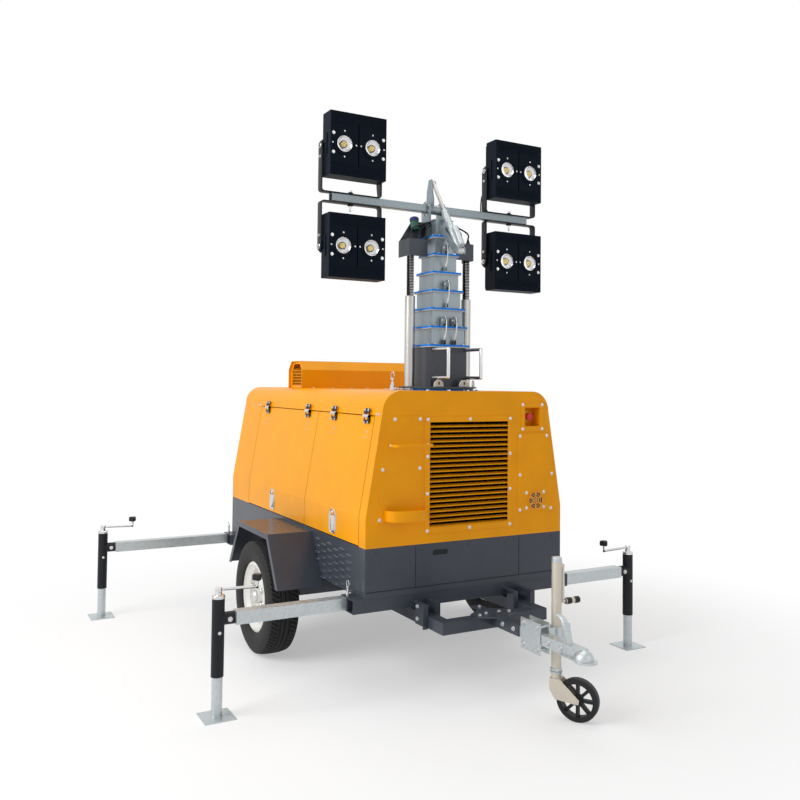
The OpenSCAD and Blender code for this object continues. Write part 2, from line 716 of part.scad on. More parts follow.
module tow_tube() color(zinc) at_front() difference() {
  h = tow_w / 2;
  box([draw_front + 20, ball_x - 55], [-h, h], [tow_z - h, tow_z + h]);
  box([draw_front + 19, ball_x - 54], [-h + tow_t, h - tow_t], [tow_z - h + tow_t, tow_z + h - tow_t]);
  for (x = [socket_front - 40, socket_front - 130]) rod_y(x, [-h - 1, h + 1], tow_z, 6.5);
}

// Pressed coupler head over the tow tube, with its cup for the ball and its handle
module coupler() color(zinc) at_front() {
  h = tow_w / 2 + fit_gap;
  low = tow_z - h;
  difference() {
    union() {
      box([ball_x - 260, ball_x], [-h - 4, h + 4], [low, tow_z + h + 4]);
      translate([ball_x, 0, low]) cylinder(r = ball_r + 8, h = 20);
      translate([ball_x, 0, low + 18]) sphere(r = ball_r + 8);
      translate([0, 0, low]) linear_extrude(5) {
        translate([ball_x - 120, -h - 12]) square([120, 2 * h + 24]);
        translate([ball_x + coupler_tip - coupler_r, 0]) circle(r = coupler_r);
      }
    }
    box([ball_x - 261, ball_x - 50], [-h, h], [low - 1, tow_z + h]);
    translate([ball_x, 0, low - 1]) cylinder(r = ball_r + fit_gap, h = 20);
    translate([ball_x, 0, low + 18]) sphere(r = ball_r + fit_gap);
  }
  translate([ball_x - 95, 0, tow_z + h + 2]) rotate([0, -12, 0]) translate([-6, -14, 0]) cube([12, 28, 90]);
}

// Two bolted plates across the tow tube and the split clamp for the jockey tube
module jockey_clamp() color(zinc) at_front() {
  h = tow_w / 2;
  x = [jockey_x - 120, jockey_x + 30];
  for (y = [[-h - 6, -h], [h, h + 6]]) box(x, y, [tow_z - h - 50, tow_z + h + 50]);
  for (bx = [x[0] + 22, x[1] - 22], bz = [tow_z - h - 28, tow_z + h + 28])
    rod_y(bx, [-h - 14, h + 14], bz, 6);
  difference() {
    union() {
      translate([jockey_x, jockey_y, tow_z - 45]) cylinder(r = jockey_r + 6, h = 90);
      box([jockey_x - 20, jockey_x + 20], [h + 5, jockey_y], [tow_z - 45, tow_z + 45]);
      box([jockey_x + 10, jockey_x + 22], [jockey_y, jockey_y + 52], [tow_z - 30, tow_z + 30]);
    }
    translate([jockey_x, jockey_y, tow_z - 46]) cylinder(r = jockey_r + fit_gap, h = 92);
  }
}

// Outer jockey tube, which slides in the clamp, with its side crank
module jockey_tube() color(cream) at_front() {
  difference() {
    translate([jockey_x, jockey_y, jockey_low]) cylinder(r = jockey_r, h = jockey_top - jockey_low);
    translate([jockey_x, jockey_y, jockey_low - 1]) cylinder(r = jockey_r - jockey_t,
      h = jockey_top - jockey_low - 5);
  }
  y = jockey_y + jockey_r;
  rod_y(jockey_x, [y - 2, y + 16], jockey_top - 40, 10);
  rod([jockey_x, y + 12, jockey_top - 46], [jockey_x, y + 12, jockey_top - 210], 6);
  rod_y(jockey_x, [y + 12, y + 112], jockey_top - 210, 6);
  rod_y(jockey_x, [y + 30, y + 112], jockey_top - 210, 15);
}

// Inner leg of the jockey wheel, with the swivel pin below it
module jockey_leg() color(zinc) at_front() translate([jockey_x, jockey_y, 0]) {
  r = jockey_r - jockey_t - fit_gap;
  translate([0, 0, jockey_low - 9]) cylinder(r = r, h = jockey_top - jockey_low - 40);
  translate([0, 0, jockey_low - 9]) cylinder(r = jockey_r + 5, h = 8.7);
  translate([0, 0, jockey_low - 32]) cylinder(r = 11, h = 24);
}

// Fork with a bored head and two cheeks, turned to the wheel's heading
module jockey_fork() color(cream) at_front() translate([jockey_x, jockey_y, 0]) rotate([0, 0, castor_turn]) {
  head = jockey_low - 9 - fit_gap;
  side = castor_w / 2 + 4;
  difference() {
    union() {
      translate([0, 0, head - 22]) cylinder(r = 25, h = 22);
      box([-25, 27], [-side - 5, side + 5], [head - 28, head - 21]);
    }
    translate([0, 0, head - 29]) cylinder(r = 11 + fit_gap, h = 30);
  }
  for (y = [-side - 5, side]) along_y(y, 5)
    polygon([[-25, head - 22], [27, head - 22], [castor_trail - 30, castor_r + 45],
      [castor_trail + 14, castor_r + 6],
      [castor_trail + 10, castor_r - 14], [castor_trail - 12, castor_r - 14], [2, castor_r - 6],
        [-25, castor_r + 40]]);
  rod_y(castor_trail, [-side - 6, side + 6], castor_r, 7);
}

module jockey_wheel() color(black) at_front() translate([jockey_x, jockey_y, 0]) rotate([0, 0, castor_turn])
  translate([castor_trail, 0, castor_r]) rotate([90, 0, 0]) difference() {
    union() {
      rotate_extrude($fn = 96) polygon([[castor_r - 24, -castor_w / 2], [castor_r - 5, -castor_w / 2],
        [castor_r, -castor_w / 2 + 8], [castor_r, castor_w / 2 - 8], [castor_r - 5, castor_w / 2],
        [castor_r - 24, castor_w / 2]]);
      translate([0, 0, -castor_w / 2]) cylinder(r = 22, h = castor_w);
      for (a = [0:45:315]) rotate([0, 0, a]) translate([15, -7, -12]) cube([castor_r - 38, 14, 24]);
    }
    translate([0, 0, -castor_w]) cylinder(r = 7 + fit_gap, h = 2 * castor_w);
  }

module tail_lamps() color(red) at_front() for (s = [-1, 1]) flip_y(s)
  box([-rear_tube_x - tube_w / 2 - 40, -rear_tube_x - tube_w / 2], [body_half - 200, body_half - 60],
    [beam_z - 32, beam_z + 32]);

// A square tube, open at both ends
module mast_tube(w, t, z) difference() {
  box([-w / 2, w / 2], [-w / 2, w / 2], z);
  box([-w / 2 + t, w / 2 - t], [-w / 2 + t, w / 2 - t], [z[0] - 1, z[1] + 1]);
}

// Blue plate with a square hole, which caps a tube and passes the next one
module mast_plate(w, z) color(blue) difference() {
  half = w / 2 + plate_rim;
  box([-half, half], [-half, half], [z - plate_t, z]);
  box([-w / 2 + mast_t, w / 2 - mast_t], [-w / 2 + mast_t, w / 2 - mast_t], [z - plate_t - 1, z + 1]);
}

// Rope sheave between two cheeks on the front edge of a plate
module sheave(w, z, y) color(zinc) {
  next = w / 2 - mast_t - mast_gap;
  r = 22;
  x = next + 5 + r;
  rod_y(x, [y - 7, y + 7], z + r + 10, r);
  rod_y(x, [y - 13, y + 13], z + r + 10, 6);
  for (side = [-12, 8]) along_y(y + side, 4)
    polygon([[next + 5, z - 1], [w / 2 + plate_rim, z - 1], [x + 20, z + 20], [x + 16, z + 46],
      [x - 12, z + 46],
      [next + 5, z + 30]]);
}

// Eye on a plate, to which a rope's end is tied
module rope_anchor(w, z, y) color(zinc) {
  next = w / 2 - mast_t - mast_gap;
  box([next + 5, w / 2 + plate_rim - 1], [y - 9, y + 9], [z - 1, z + 5]);
  for (side = [-9, 5]) along_y(y + side, 4)
    polygon([[next + 6, z + 4], [next + 24, z + 4], [next + 24, z + 22], [next + 19, z + 28],
      [next + 11, z + 28],
      [next + 6, z + 22]]);
  rod_y(next + 15, [y - 9, y + 9], z + 19, 4);
}

// Half-round lug with a slot, upright on the turntable in front of the mast
module turntable_lug(x, y) color(white) along_x(x, 8) difference() {
  translate([y, turntable_top - 1]) union() {
    translate([-30, 0]) square([60, 9]);
    translate([0, 9]) circle(r = 30);
  }
  translate([-200, turntable_top - 50]) square([400, 49.5]);
  translate([y, turntable_top + 19]) scale([0.5, 1]) circle(r = 9);
}

// Base of the mast on its turntable, with its handles and the lowest plate
module mast_base() at_front() translate([-mast_x, 0, 0]) {
  color(slate) {
    mast_tube(mast_w, mast_t, [mast_low, plate_z - plate_t + 1]);
    box([-mast_w / 2, mast_w / 2], [-mast_w / 2, mast_w / 2], [mast_low, mast_low + 6]);
    difference() {
      translate([0, 0, turntable_top - turntable_t])
        cylinder(r = cable_tube_y + cable_tube_r + 6, h = turntable_t);
      box([-mast_w / 2 + 1, mast_w / 2 - 1], [-mast_w / 2 + 1, mast_w / 2 - 1], [roof_z, turntable_top + 1]);
    }
  }
  mast_plate(mast_w, plate_z);
  for (y = sheave_pair) rope_anchor(mast_w, plate_z, y);
  for (y = [-92, 74]) turntable_lug(mast_w / 2 + 40, y);
  color(zinc) for (s = [-1, 1]) flip_y(s) {
    y = mast_w / 2 - 12;
    handle_z = plate_z - 28;
    for (z = [handle_z, handle_z - handle_h])
      rod_x([mast_w / 2 - 2, mast_w / 2 + handle_reach], y, z, 6);
    translate([mast_w / 2 + handle_reach, y, handle_z - handle_h - 6]) cylinder(r = 6, h = handle_h + 12);
  }
}

// The two tubes in which the curly cables are stowed
module cable_tubes() color(steel) at_front() translate([-mast_x, 0, 0]) for (s = [-1, 1])
  translate([0, s * cable_tube_y, turntable_top]) difference() {
    cylinder(r = cable_tube_r, h = cable_tube_top - turntable_top);
    translate([0, 0, tube_floor]) cylinder(r = cable_tube_r - 2.5, h = cable_tube_top - turntable_top);
  }

// Moving section k of the mast, 1 outermost, with slide pads at its foot and its own plate
module mast_section(k) at_front() translate([-mast_x, 0, 0]) {
  w = mast_w - 2 * k * (mast_t + mast_gap);
  pad = mast_gap - fit_gap;
  low = mast_low + 6 + fit_gap;
  top = plate_z + k * plate_pitch;
  color(zinc) {
    mast_tube(w, mast_t, [low, top - plate_t + 1]);
    for (a = [0:90:270]) rotate([0, 0, a]) for (y = [-w * 0.3, w * 0.3], z = [low + 10, low + 120])
      box([w / 2 - 1, w / 2 + pad], [y - 8, y + 8], [z, z + 50]);
  }
  mast_plate(w, top);
  if (k == 1) for (y = sheave_pair) sheave(w, top, y);
  if (k == 3 || k == 5) sheave(w, top, -10);
  if (k == 2 || k == 4) rope_anchor(w, top, -10);
}

module mast_section_1() mast_section(1);
module mast_section_2() mast_section(2);
module mast_section_3() mast_section(3);
module mast_section_4() mast_section(4);
module mast_section_5() mast_section(5);
module mast_section_6() mast_section(6);

// Innermost section with the head: bearings for the lamp bar, actuator bracket and cable bracket
module mast_section_7() {
  w = mast_w - 14 * (mast_t + mast_gap);
  head_z = bar_z - 76;
  bracket_x = -mast_w / 2 + 6 * (mast_t + mast_gap) - plate_rim - 11;
  at_front() translate([-mast_x, 0, 0]) {
    pad = mast_gap - fit_gap;
    low = mast_low + 6 + fit_gap;
    color(zinc) {
      mast_tube(w, mast_t, [low, head_z - 8]);
      for (a = [0:90:270]) rotate([0, 0, a]) for (y = [-w * 0.3, w * 0.3], z = [low + 10, low + 120])
        box([w / 2 - 1, w / 2 + pad], [y - 8, y + 8], [z, z + 50]);
      box([-bar_back - 48, w / 2], [-62, 62], [head_z - 8, head_z]);
      difference() {
        for (s = [-1, 1]) flip_y(s) {
          box([-bar_back - 45, -bar_back + 45], [44, 56], [head_z - 1, bar_z]);
          rod_y(-bar_back, [44, 56], bar_z, 45);
        }
        rod_y(-bar_back, [-57, 57], bar_z, journal_r + fit_gap);
      }
      for (y = [-26, 20]) along_y(y, 6)
        polygon([[w / 2 - 1, head_z - 64], [w / 2 - 1, head_z - 25],
          [clevis_pin[0] + mast_x + 16, clevis_pin[1] + 12],
          [clevis_pin[0] + mast_x + 16, clevis_pin[1] - 18], [clevis_pin[0] + mast_x - 16,
            clevis_pin[1] - 18]]);
      rod_y(clevis_pin[0] + mast_x, [-27, 27], clevis_pin[1], pivot_r);
    }
    color(black) {
      along_x(bracket_x, 4.5) polygon([[-cable_tube_y - 28, shelf_z], [-135, head_z], [135, head_z],
        [cable_tube_y + 28, shelf_z]]);
      difference() {
        box([bracket_x, 34], [-cable_tube_y - 28, cable_tube_y + 28], [shelf_z, shelf_z + 5]);
        box([bracket_x + 4.5, 35], [bracket_x + 4, -bracket_x - 4], [shelf_z - 1, shelf_z + 6]);
      }
    }
  }
}

// Outer shape of the two curly cables, from the foot of their tubes to the shelf
module curly_cables() color(black) at_front() translate([-mast_x, 0, 0]) for (s = [-1, 1])
  translate([0, s * cable_tube_y, turntable_top + tube_floor + fit_gap])
    cylinder(r = coil_r, h = shelf_z - turntable_top - tube_floor - 2 * fit_gap);

// Square bar with its journals, lever and the four yokes
module lamp_bar() {
  color(zinc) at_front() {
    for (s = [-1, 1]) flip_y(s)
      box([bar_x - bar_w / 2, bar_x + bar_w / 2], [60, bar_half], [bar_z - bar_w / 2, bar_z + bar_w / 2]);
    rod_y(bar_x, [-61, 61], bar_z, journal_r);
    along_y(-actuator_rod_r - 1 - lever_t, lever_t) polygon([[bar_x - 26, bar_z + 5],
      [bar_x - 45, bar_z + 110], [lever_pin[0] - 14, lever_pin[1] + 14],
      [lever_pin[0] + 14, lever_pin[1] + 14], [bar_x + 26, bar_z + 60], [bar_x + 26, bar_z + 5]]);
  }
  color(black) at_front() for (s = [-1, 1], up = [-1, 1]) translate([bar_x, s * lamp_y, bar_z]) yoke(up);
}

// U of flat bar bolted to the bar, with a pivot disc at each tip
module yoke(up) mirror([0, 0, up < 0 ? 1 : 0]) {
  low = bar_w / 2;
  half = lamp_w / 2 + 9;
  out = half + yoke_t;
  along_x(-yoke_w / 2, yoke_w) difference() {
    polygon([[-out, lamp_rise], [-out, low + 16], [-out + 5, low + 5], [-out + 16, low], [out - 16, low],
      [out - 5, low + 5], [out, low + 16], [out, lamp_rise]]);
    polygon([[-half, lamp_rise + 1], [-half, low + yoke_t + 10], [-half + 3, low + yoke_t + 3],
      [-half + 10, low + yoke_t], [half - 10, low + yoke_t], [half - 3, low + yoke_t + 3],
      [half, low + yoke_t + 10], [half, lamp_rise + 1]]);
  }
  for (s = [-1, 1]) flip_y(s) rod_y(0, [half, half + yoke_t], lamp_rise, yoke_w / 2);
  translate([0, 0, low + yoke_t - 1]) cylinder(r = 12, h = 12);
}

// Actuator body on the clevis pin, bored for its rod, with the motor beside it
module actuator_body() color(zinc) at_front() along_actuator() {
  difference() {
    union() {
      rod_y(0, [-19, 19], 0, 17);
      translate([0, 0, 8]) cylinder(r = actuator_r, h = actuator_body_len - 8);
    }
    rod_y(0, [-20, 20], 0, pivot_r + fit_gap);
    translate([0, 0, 60]) cylinder(r = actuator_rod_r + fit_gap, h = actuator_body_len);
  }
  translate([34, 0, 14]) cylinder(r = 17, h = 130);
  box([-2, 40], [-12, 12], [16, 44]);
}

// Actuator rod, whose eye stands beside the lever
module actuator_rod() color(steel) at_front() along_actuator() {
  translate([0, 0, 205]) cylinder(r = actuator_rod_r, h = actuator_len - 205 - 14);
  rod_y(0, [-actuator_rod_r - 1 + fit_gap, actuator_rod_r], actuator_len, 16);
  rod_y(0, [actuator_rod_r - 1, actuator_rod_r + 7], actuator_len, 9);
}

// Turns local +Z to point from the clevis pin to the lever's pin
module along_actuator() {
  d = lever_pin - clevis_pin;
  translate([clevis_pin[0], 0, clevis_pin[1]]) rotate([0, atan2(d[0], d[1]), 0]) children();
}

// Floodlight: finned housing, two round optics behind a bezel and the trunnions
module lamp(s, up) color(black) at_front()
  translate([bar_x, s * lamp_y, bar_z + up * lamp_rise]) {
    difference() {
      box([-lamp_back + 20, lamp_front], [-lamp_w / 2, lamp_w / 2], [-lamp_h / 2, lamp_h / 2]);
      for (y = [-lamp_w / 4, lamp_w / 4]) rod_x([lamp_front - 25, lamp_front + 1], y, 0, 62);
      box([lamp_front - 12, lamp_front + 1], [-3, 3], [-lamp_h / 2 + 20, lamp_h / 2 - 20]);
    }
    for (y = [-lamp_w / 4, lamp_w / 4]) rod_x([lamp_front - 26, lamp_front - 20], y, 0, 40);
    for (y = [-lamp_w / 2 + 12:24:lamp_w / 2 - 10])
      box([-lamp_back, -lamp_back + 21], [y - 2, y + 2], [-lamp_h / 2 + 14, lamp_h / 2 - 14]);
    rod_y(0, [-lamp_w / 2 - 9 + fit_gap, lamp_w / 2 + 9 - fit_gap], 0, 20);
  }

module lamp_upper_right() lamp(-1, 1);
module lamp_lower_right() lamp(-1, -1);
module lamp_upper_left() lamp(1, 1);
module lamp_lower_left() lamp(1, -1);

chassis();
lower_body();
canopy();
front_louvre();
front_covers();
stop_box();
cable_hooks();
rear_cover();
roof_duct();
roof_ring();
engine();
fender_right();
fender_left();
axle();
drawbar_frame();
tow_tube();
coupler();
jockey_clamp();
tail_lamps();
door_right_front();
door_right_rear();
door_left_front();
door_left_rear();
tyre_right();
rim_right();
tyre_left();
rim_left();
beam_front_right();
jack_front_right();
leg_front_right();
beam_front_left();
jack_front_left();
leg_front_left();
beam_rear_right();
jack_rear_right();
leg_rear_right();
beam_rear_left();
jack_rear_left();
leg_rear_left();
jockey_tube();
jockey_leg();
jockey_fork();
jockey_wheel();
mast_base();
cable_tubes();
mast_section_1();
mast_section_2();
mast_section_3();
mast_section_4();
mast_section_5();
mast_section_6();
mast_section_7();
curly_cables();
lamp_bar();
actuator_body();
actuator_rod();
lamp_upper_right();
lamp_lower_right();
lamp_upper_left();
lamp_lower_left();
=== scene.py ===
"""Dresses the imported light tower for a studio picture.

Every length in this file is in millimetres, with x measured from the front face of the body, y to the left
and z up from the ground, as in the part's source. Workshop.place turns them into metres in the row frame.
"""

import logging
import math
from dataclasses import dataclass, field
from enum import Enum

import bpy
import numpy as np
from mathutils import Matrix


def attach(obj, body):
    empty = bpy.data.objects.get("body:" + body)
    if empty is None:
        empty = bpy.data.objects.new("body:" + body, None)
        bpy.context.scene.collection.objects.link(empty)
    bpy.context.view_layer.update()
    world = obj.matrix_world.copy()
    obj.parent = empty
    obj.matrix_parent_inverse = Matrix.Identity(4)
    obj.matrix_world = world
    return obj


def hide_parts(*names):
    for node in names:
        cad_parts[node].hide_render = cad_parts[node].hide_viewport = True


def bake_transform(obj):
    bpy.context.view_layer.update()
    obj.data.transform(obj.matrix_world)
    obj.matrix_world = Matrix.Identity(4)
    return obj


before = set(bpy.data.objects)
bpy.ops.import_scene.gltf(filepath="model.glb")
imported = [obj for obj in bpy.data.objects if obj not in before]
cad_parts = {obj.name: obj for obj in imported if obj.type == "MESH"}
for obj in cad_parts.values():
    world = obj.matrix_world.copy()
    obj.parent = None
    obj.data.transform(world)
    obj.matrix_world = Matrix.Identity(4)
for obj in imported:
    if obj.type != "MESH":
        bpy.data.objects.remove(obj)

MILLI = 0.001
BODY_FRONT = 602.0
log = logging.getLogger("light_tower")


class Facing(Enum):
    """Where the local z of a flat piece points. Each value holds the row-frame directions of local x, y and z."""

    FRONT = ((0, 1, 0), (0, 0, 1), (1, 0, 0))
    BACK = ((0, -1, 0), (0, 0, 1), (-1, 0, 0))
    RIGHT = ((1, 0, 0), (0, 0, 1), (0, -1, 0))
    LEFT = ((-1, 0, 0), (0, 0, 1), (0, 1, 0))
    UP = ((1, 0, 0), (0, 1, 0), (0, 0, 1))
    DOWN = ((1, 0, 0), (0, -1, 0), (0, 0, -1))


@dataclass
class Surface:
    """Points with the quads, triangles and many-sided faces that join them, and one tone number per point."""

    points: np.ndarray
    quads: np.ndarray = field(default_factory=lambda: np.zeros((0, 4), int))
    tris: np.ndarray = field(default_factory=lambda: np.zeros((0, 3), int))
    rings: list[list[int]] = field(default_factory=list)
    tone: np.ndarray | None = None

    def __post_init__(self) -> None:
        """Gives a surface without tones a tone of zero everywhere."""
        if self.tone is None:
            self.tone = np.zeros(len(self.points))

    def toned(self, value: float) -> "Surface":
        """The same surface with one tone all over."""
        return Surface(self.points, self.quads, self.tris, self.rings, np.full(len(self.points), value))

    def moved(self, x: float = 0.0, y: float = 0.0, z: float = 0.0) -> "Surface":
        """The same surface at another place."""
        return Surface(self.points + np.array([x, y, z]), self.quads, self.tris, self.rings, self.tone)

    def turned(self, axis: str, degrees: float) -> "Surface":
        """The same surface turned about an axis through the origin."""
        turn = np.array(Matrix.Rotation(math.radians(degrees), 3, axis))
        return Surface(self.points @ turn.T, self.quads, self.tris, self.rings, self.tone)

    def facing(self, way: Facing, at: tuple[float, float, float] = (0, 0, 0)) -> "Surface":
        """The same surface with its local z turned to point a given way, then moved."""
        axes = np.array(way.value, float)
        return Surface(self.points @ axes + np.array(at), self.quads, self.tris, self.rings, self.tone)

    def mirrored(self) -> "Surface":
        """The mirror image across the centre plane, with every face turned round to keep it facing outwards."""
        return Surface(
            self.points * np.array([1, -1, 1]),
            self.quads[:, ::-1],
            self.tris[:, ::-1],
            [ring[::-1] for ring in self.rings],
            self.tone,
        )

    def outward(self) -> "Surface":
        """A closed surface with its faces turned outwards.

        The sign of the enclosed volume, the sum of corner . (corner x corner) over fans of triangles, tells
        which way the faces point.
        """
        fans = [self.tris, self.quads[:, :3], self.quads[:, [0, 2, 3]]]
        fans += [np.array([[r[0], b, c] for b, c in zip(r[1:-1], r[2:])]) for r in self.rings]
        corners = (self.points - self.points.mean(axis=0))[np.concatenate(fans)]
        volume = np.einsum("ij,ij->", corners[:, 0], np.cross(corners[:, 1], corners[:, 2]))
        if volume >= 0:
            return self
        return Surface(
            self.points, self.quads[:, ::-1], self.tris[:, ::-1], [r[::-1] for r in self.rings], self.tone
        )


def join(parts: list[Surface]) -> Surface:
    """Gathers several surfaces into one.

    Args:
        parts: The surfaces.

    Returns:
        One surface that holds all their points and faces.
    """
    starts = np.cumsum([0] + [len(p.points) for p in parts[:-1]])
    return Surface(
        np.concatenate([p.points for p in parts]),
        np.concatenate([p.quads + s for p, s in zip(parts, starts)]),
        np.concatenate([p.tris + s for p, s in zip(parts, starts)]),
        [[int(i + s) for i in ring] for p, s in zip(parts, starts) for ring in p.rings],
        np.concatenate([p.tone for p in parts]),
    )


def both_sides(part: Surface) -> Surface:
    """A surface on the left side together with its mirror image on the right."""
    return join([part, part.mirrored()])


def stamp(template: Surface, places: list[tuple[float, float, float]]) -> Surface:
    """Repeats a small surface at many places.

    The points of all copies are the template's points plus each place, by broadcasting.

    Args:
        template: The surface to repeat, built round the origin.
        places: Where each copy's origin goes.

    Returns:
        All copies in one surface.
    """
    shift = np.array(places, float)
    count, size = len(shift), len(template.points)
    starts = (np.arange(count) * size)[:, None, None]
    return Surface(
        (template.points[None] + shift[:, None]).reshape(-1, 3),
        (template.quads[None] + starts).reshape(-1, 4),
        (template.tris[None] + starts).reshape(-1, 3),
        [[i + k * size for i in ring] for k in range(count) for ring in template.rings],
        np.tile(template.tone, count),
    )


def grid(
    points: np.ndarray,
    wrap_rows: bool = False,
    wrap_columns: bool = False,
    caps: bool = False,
    tone: np.ndarray | None = None,
) -> Surface:
    """Joins a grid of points with quads.

    Corner (i, j) is joined to (i + 1, j), (i + 1, j + 1) and (i, j + 1), and the indices wrap where asked.

    Args:
        points: Grid of points, rows x columns x 3.
        wrap_rows: Joins the last row to the first.
        wrap_columns: Joins the last column to the first.
        caps: Closes the first and the last row with one face each.
        tone: One tone per grid point, rows x columns.

    Returns:
        The surface, turned outwards where it is closed.
    """
    rows, columns = points.shape[:2]
    i, j = np.meshgrid(
        np.arange(rows if wrap_rows else rows - 1),
        np.arange(columns if wrap_columns else columns - 1),
        indexing="ij",
    )
    i2, j2 = (i + 1) % rows, (j + 1) % columns
    quads = np.stack([i * columns + j, i2 * columns + j, i2 * columns + j2, i * columns + j2], -1)
    rings = []
    if caps:
        first = np.arange(columns)
        rings = [first.tolist(), (first[::-1] + (rows - 1) * columns).tolist()]
    flat_tone = None if tone is None else np.asarray(tone, float).reshape(-1)
    made = Surface(points.reshape(-1, 3).astype(float), quads.reshape(-1, 4), rings=rings, tone=flat_tone)
    closed = (caps or wrap_rows) and wrap_columns
    return made.outward() if closed else made


def lathe(profile: list[tuple[float, float]], steps: int = 24, hollow: bool = False) -> Surface:
    """Turns a profile of (radius, height) about local z.

    Point (i, j) lies at radius_i (cos a_j, sin a_j), height_i, with a_j spaced evenly round the circle.

    Args:
        profile: Radius and height of each ring.
        steps: Points round the circle.
        hollow: True for a profile that is itself a closed loop, such as a ring's section.

    Returns:
        The turned surface, closed by flat caps unless it is hollow.
    """
    radius, height = np.array(profile, float).T
    angle = np.linspace(0, 2 * np.pi, steps, endpoint=False)
    points = np.stack(
        [
            radius[:, None] * np.cos(angle),
            radius[:, None] * np.sin(angle),
            np.repeat(height[:, None], steps, 1),
        ],
        -1,
    )
    return grid(points, wrap_rows=hollow, wrap_columns=True, caps=not hollow)


def sweep(path: np.ndarray, section: np.ndarray, closed: bool = False, up: tuple = (0, 0, 1)) -> Surface:
    """Carries a flat section along a path.

    At each path point the tangent t comes from its neighbours, the side is t x up and the lift is
    side x t; the section's two coordinates run along side and lift.

    Args:
        path: Points of the path, n x 3.
        section: Corners of the section, m x 2.
        closed: Joins the path's end to its start.
        up: A direction that the path never follows.

    Returns:
        A closed tube with that section.
    """
    path = np.asarray(path, float)
    if closed:
        tangent = np.roll(path, -1, 0) - np.roll(path, 1, 0)
    else:
        tangent = np.gradient(path, axis=0)
    tangent /= np.linalg.norm(tangent, axis=1, keepdims=True)
    side = np.cross(tangent, np.array(up, float))
    side /= np.linalg.norm(side, axis=1, keepdims=True)
    lift = np.cross(side, tangent)
    section = np.asarray(section, float)
    points = path[:, None] + section[None, :, :1] * side[:, None] + section[None, :, 1:] * lift[:, None]
    return grid(points, wrap_rows=closed, wrap_columns=True, caps=not closed)


def disc(radius: float, sides: int = 10) -> np.ndarray:
    """Corners of a round section."""
    angle = np.linspace(0, 2 * np.pi, sides, endpoint=False)
    return radius * np.stack([np.cos(angle), np.sin(angle)], -1)


def oblong(width: float, height: float, radius: float, steps: int = 4) -> np.ndarray:
    """Outline of a rectangle with rounded corners, round its middle.

    Args:
        width: Size along local x.
        height: Size along local y.
        radius: Radius of the corners.
        steps: Points on each corner.

    Returns:
        Corners in order, n x 2.
    """
    quarter = np.linspace(0, np.pi / 2, steps)
    angle = (quarter[None] + np.arange(4)[:, None] * np.pi / 2).reshape(-1)
    signs = np.repeat(np.array([[1, 1], [-1, 1], [-1, -1], [1, -1]]), steps, 0)
    centre = signs * np.array([width / 2 - radius, height / 2 - radius])
    return centre + radius * np.stack([np.cos(angle), np.sin(angle)], -1)


def slab(outline: np.ndarray, low: float, high: float, bevel: float = 1.0) -> Surface:
    """Raises an outline from low to high, with both rims bevelled.

    Each corner moves inwards by bevel (n1 + n2) / (1 + n1 . n2), n1 and n2 being the normals of the two
    edges that meet there, to make the inner loop of each rim.

    Args:
        outline: Corners in order, n x 2.
        low: Lower height.
        high: Upper height.
        bevel: Width of the bevels.

    Returns:
        The closed slab.
    """
    outline = np.asarray(outline, float)
    edge = np.roll(outline, -1, 0) - outline
    keep = np.linalg.norm(edge, axis=1) > 1e-6
    outline = outline[keep]
    edge = np.roll(outline, -1, 0) - outline
    normal = np.stack([-edge[:, 1], edge[:, 0]], -1) / np.linalg.norm(edge, axis=1, keepdims=True)
    area = np.sum(outline[:, 0] * np.roll(outline[:, 1], -1) - outline[:, 1] * np.roll(outline[:, 0], -1))
    normal *= np.sign(area)
    before = np.roll(normal, 1, 0)
    inner = outline + bevel * (normal + before) / (1 + np.sum(normal * before, 1, keepdims=True))
    loops = [(inner, low), (outline, low + bevel), (outline, high - bevel), (inner, high)]
    points = np.stack([np.column_stack([xy, np.full(len(xy), z)]) for xy, z in loops])
    return grid(points, wrap_columns=True, caps=True)


def curve_through(points: list[tuple[float, float, float]], steps: int = 8) -> np.ndarray:
    """A smooth path through some points, by Catmull and Rom's cubic between each pair.

    Args:
        points: The points to pass.
        steps: Path points for each span.

    Returns:
        The path, n x 3.
    """
    p = np.array(points, float)
    p = np.concatenate([[2 * p[0] - p[1]], p, [2 * p[-1] - p[-2]]])
    a, b, c, d = p[:-3, None], p[1:-2, None], p[2:-1, None], p[3:, None]
    t = np.linspace(0, 1, steps, endpoint=False)[None, :, None]
    path = 0.5 * (
        2 * b + (c - a) * t + (2 * a - 5 * b + 4 * c - d) * t**2 + (3 * b - a - 3 * c + d) * t**3
    )
    return np.concatenate([path.reshape(-1, 3), p[-2:-1]])


def rounded_path(points: list[tuple[float, float, float]], radius: float, steps: int = 6) -> np.ndarray:
    """Straight runs joined by round bends.

    Each inner corner c is replaced by the curve (1-t)^2 a + 2 t (1-t) c + t^2 b, a and b lying at a
    radius' distance from c along the two runs.

    Args:
        points: Corners of the run, ends included.
        radius: Length taken from each run at a bend.
        steps: Path points for each bend.

    Returns:
        The path, n x 3.
    """
    p = np.array(points, float)
    corner = p[1:-1]
    back = p[:-2] - corner
    on = p[2:] - corner
    a = corner + radius * back / np.linalg.norm(back, axis=1, keepdims=True)
    b = corner + radius * on / np.linalg.norm(on, axis=1, keepdims=True)
    t = np.linspace(0, 1, steps)[None, :, None]
    bends = (1 - t) ** 2 * a[:, None] + 2 * t * (1 - t) * corner[:, None] + t**2 * b[:, None]
    return np.concatenate([p[:1], bends.reshape(-1, 3), p[-1:]])


def bolt_head(radius: float, rise: float) -> Surface:
    """A domed bolt head on a washer, standing on local z = 0."""
    return lathe(
        [
            (radius * 1.4, 0),
            (radius * 1.4, rise * 0.2),
            (radius * 1.02, rise * 0.26),
            (radius, rise * 0.5),
            (radius * 0.82, rise * 0.8),
            (radius * 0.45, rise * 0.97),
            (radius * 0.1, rise),
        ],
        14,
    )


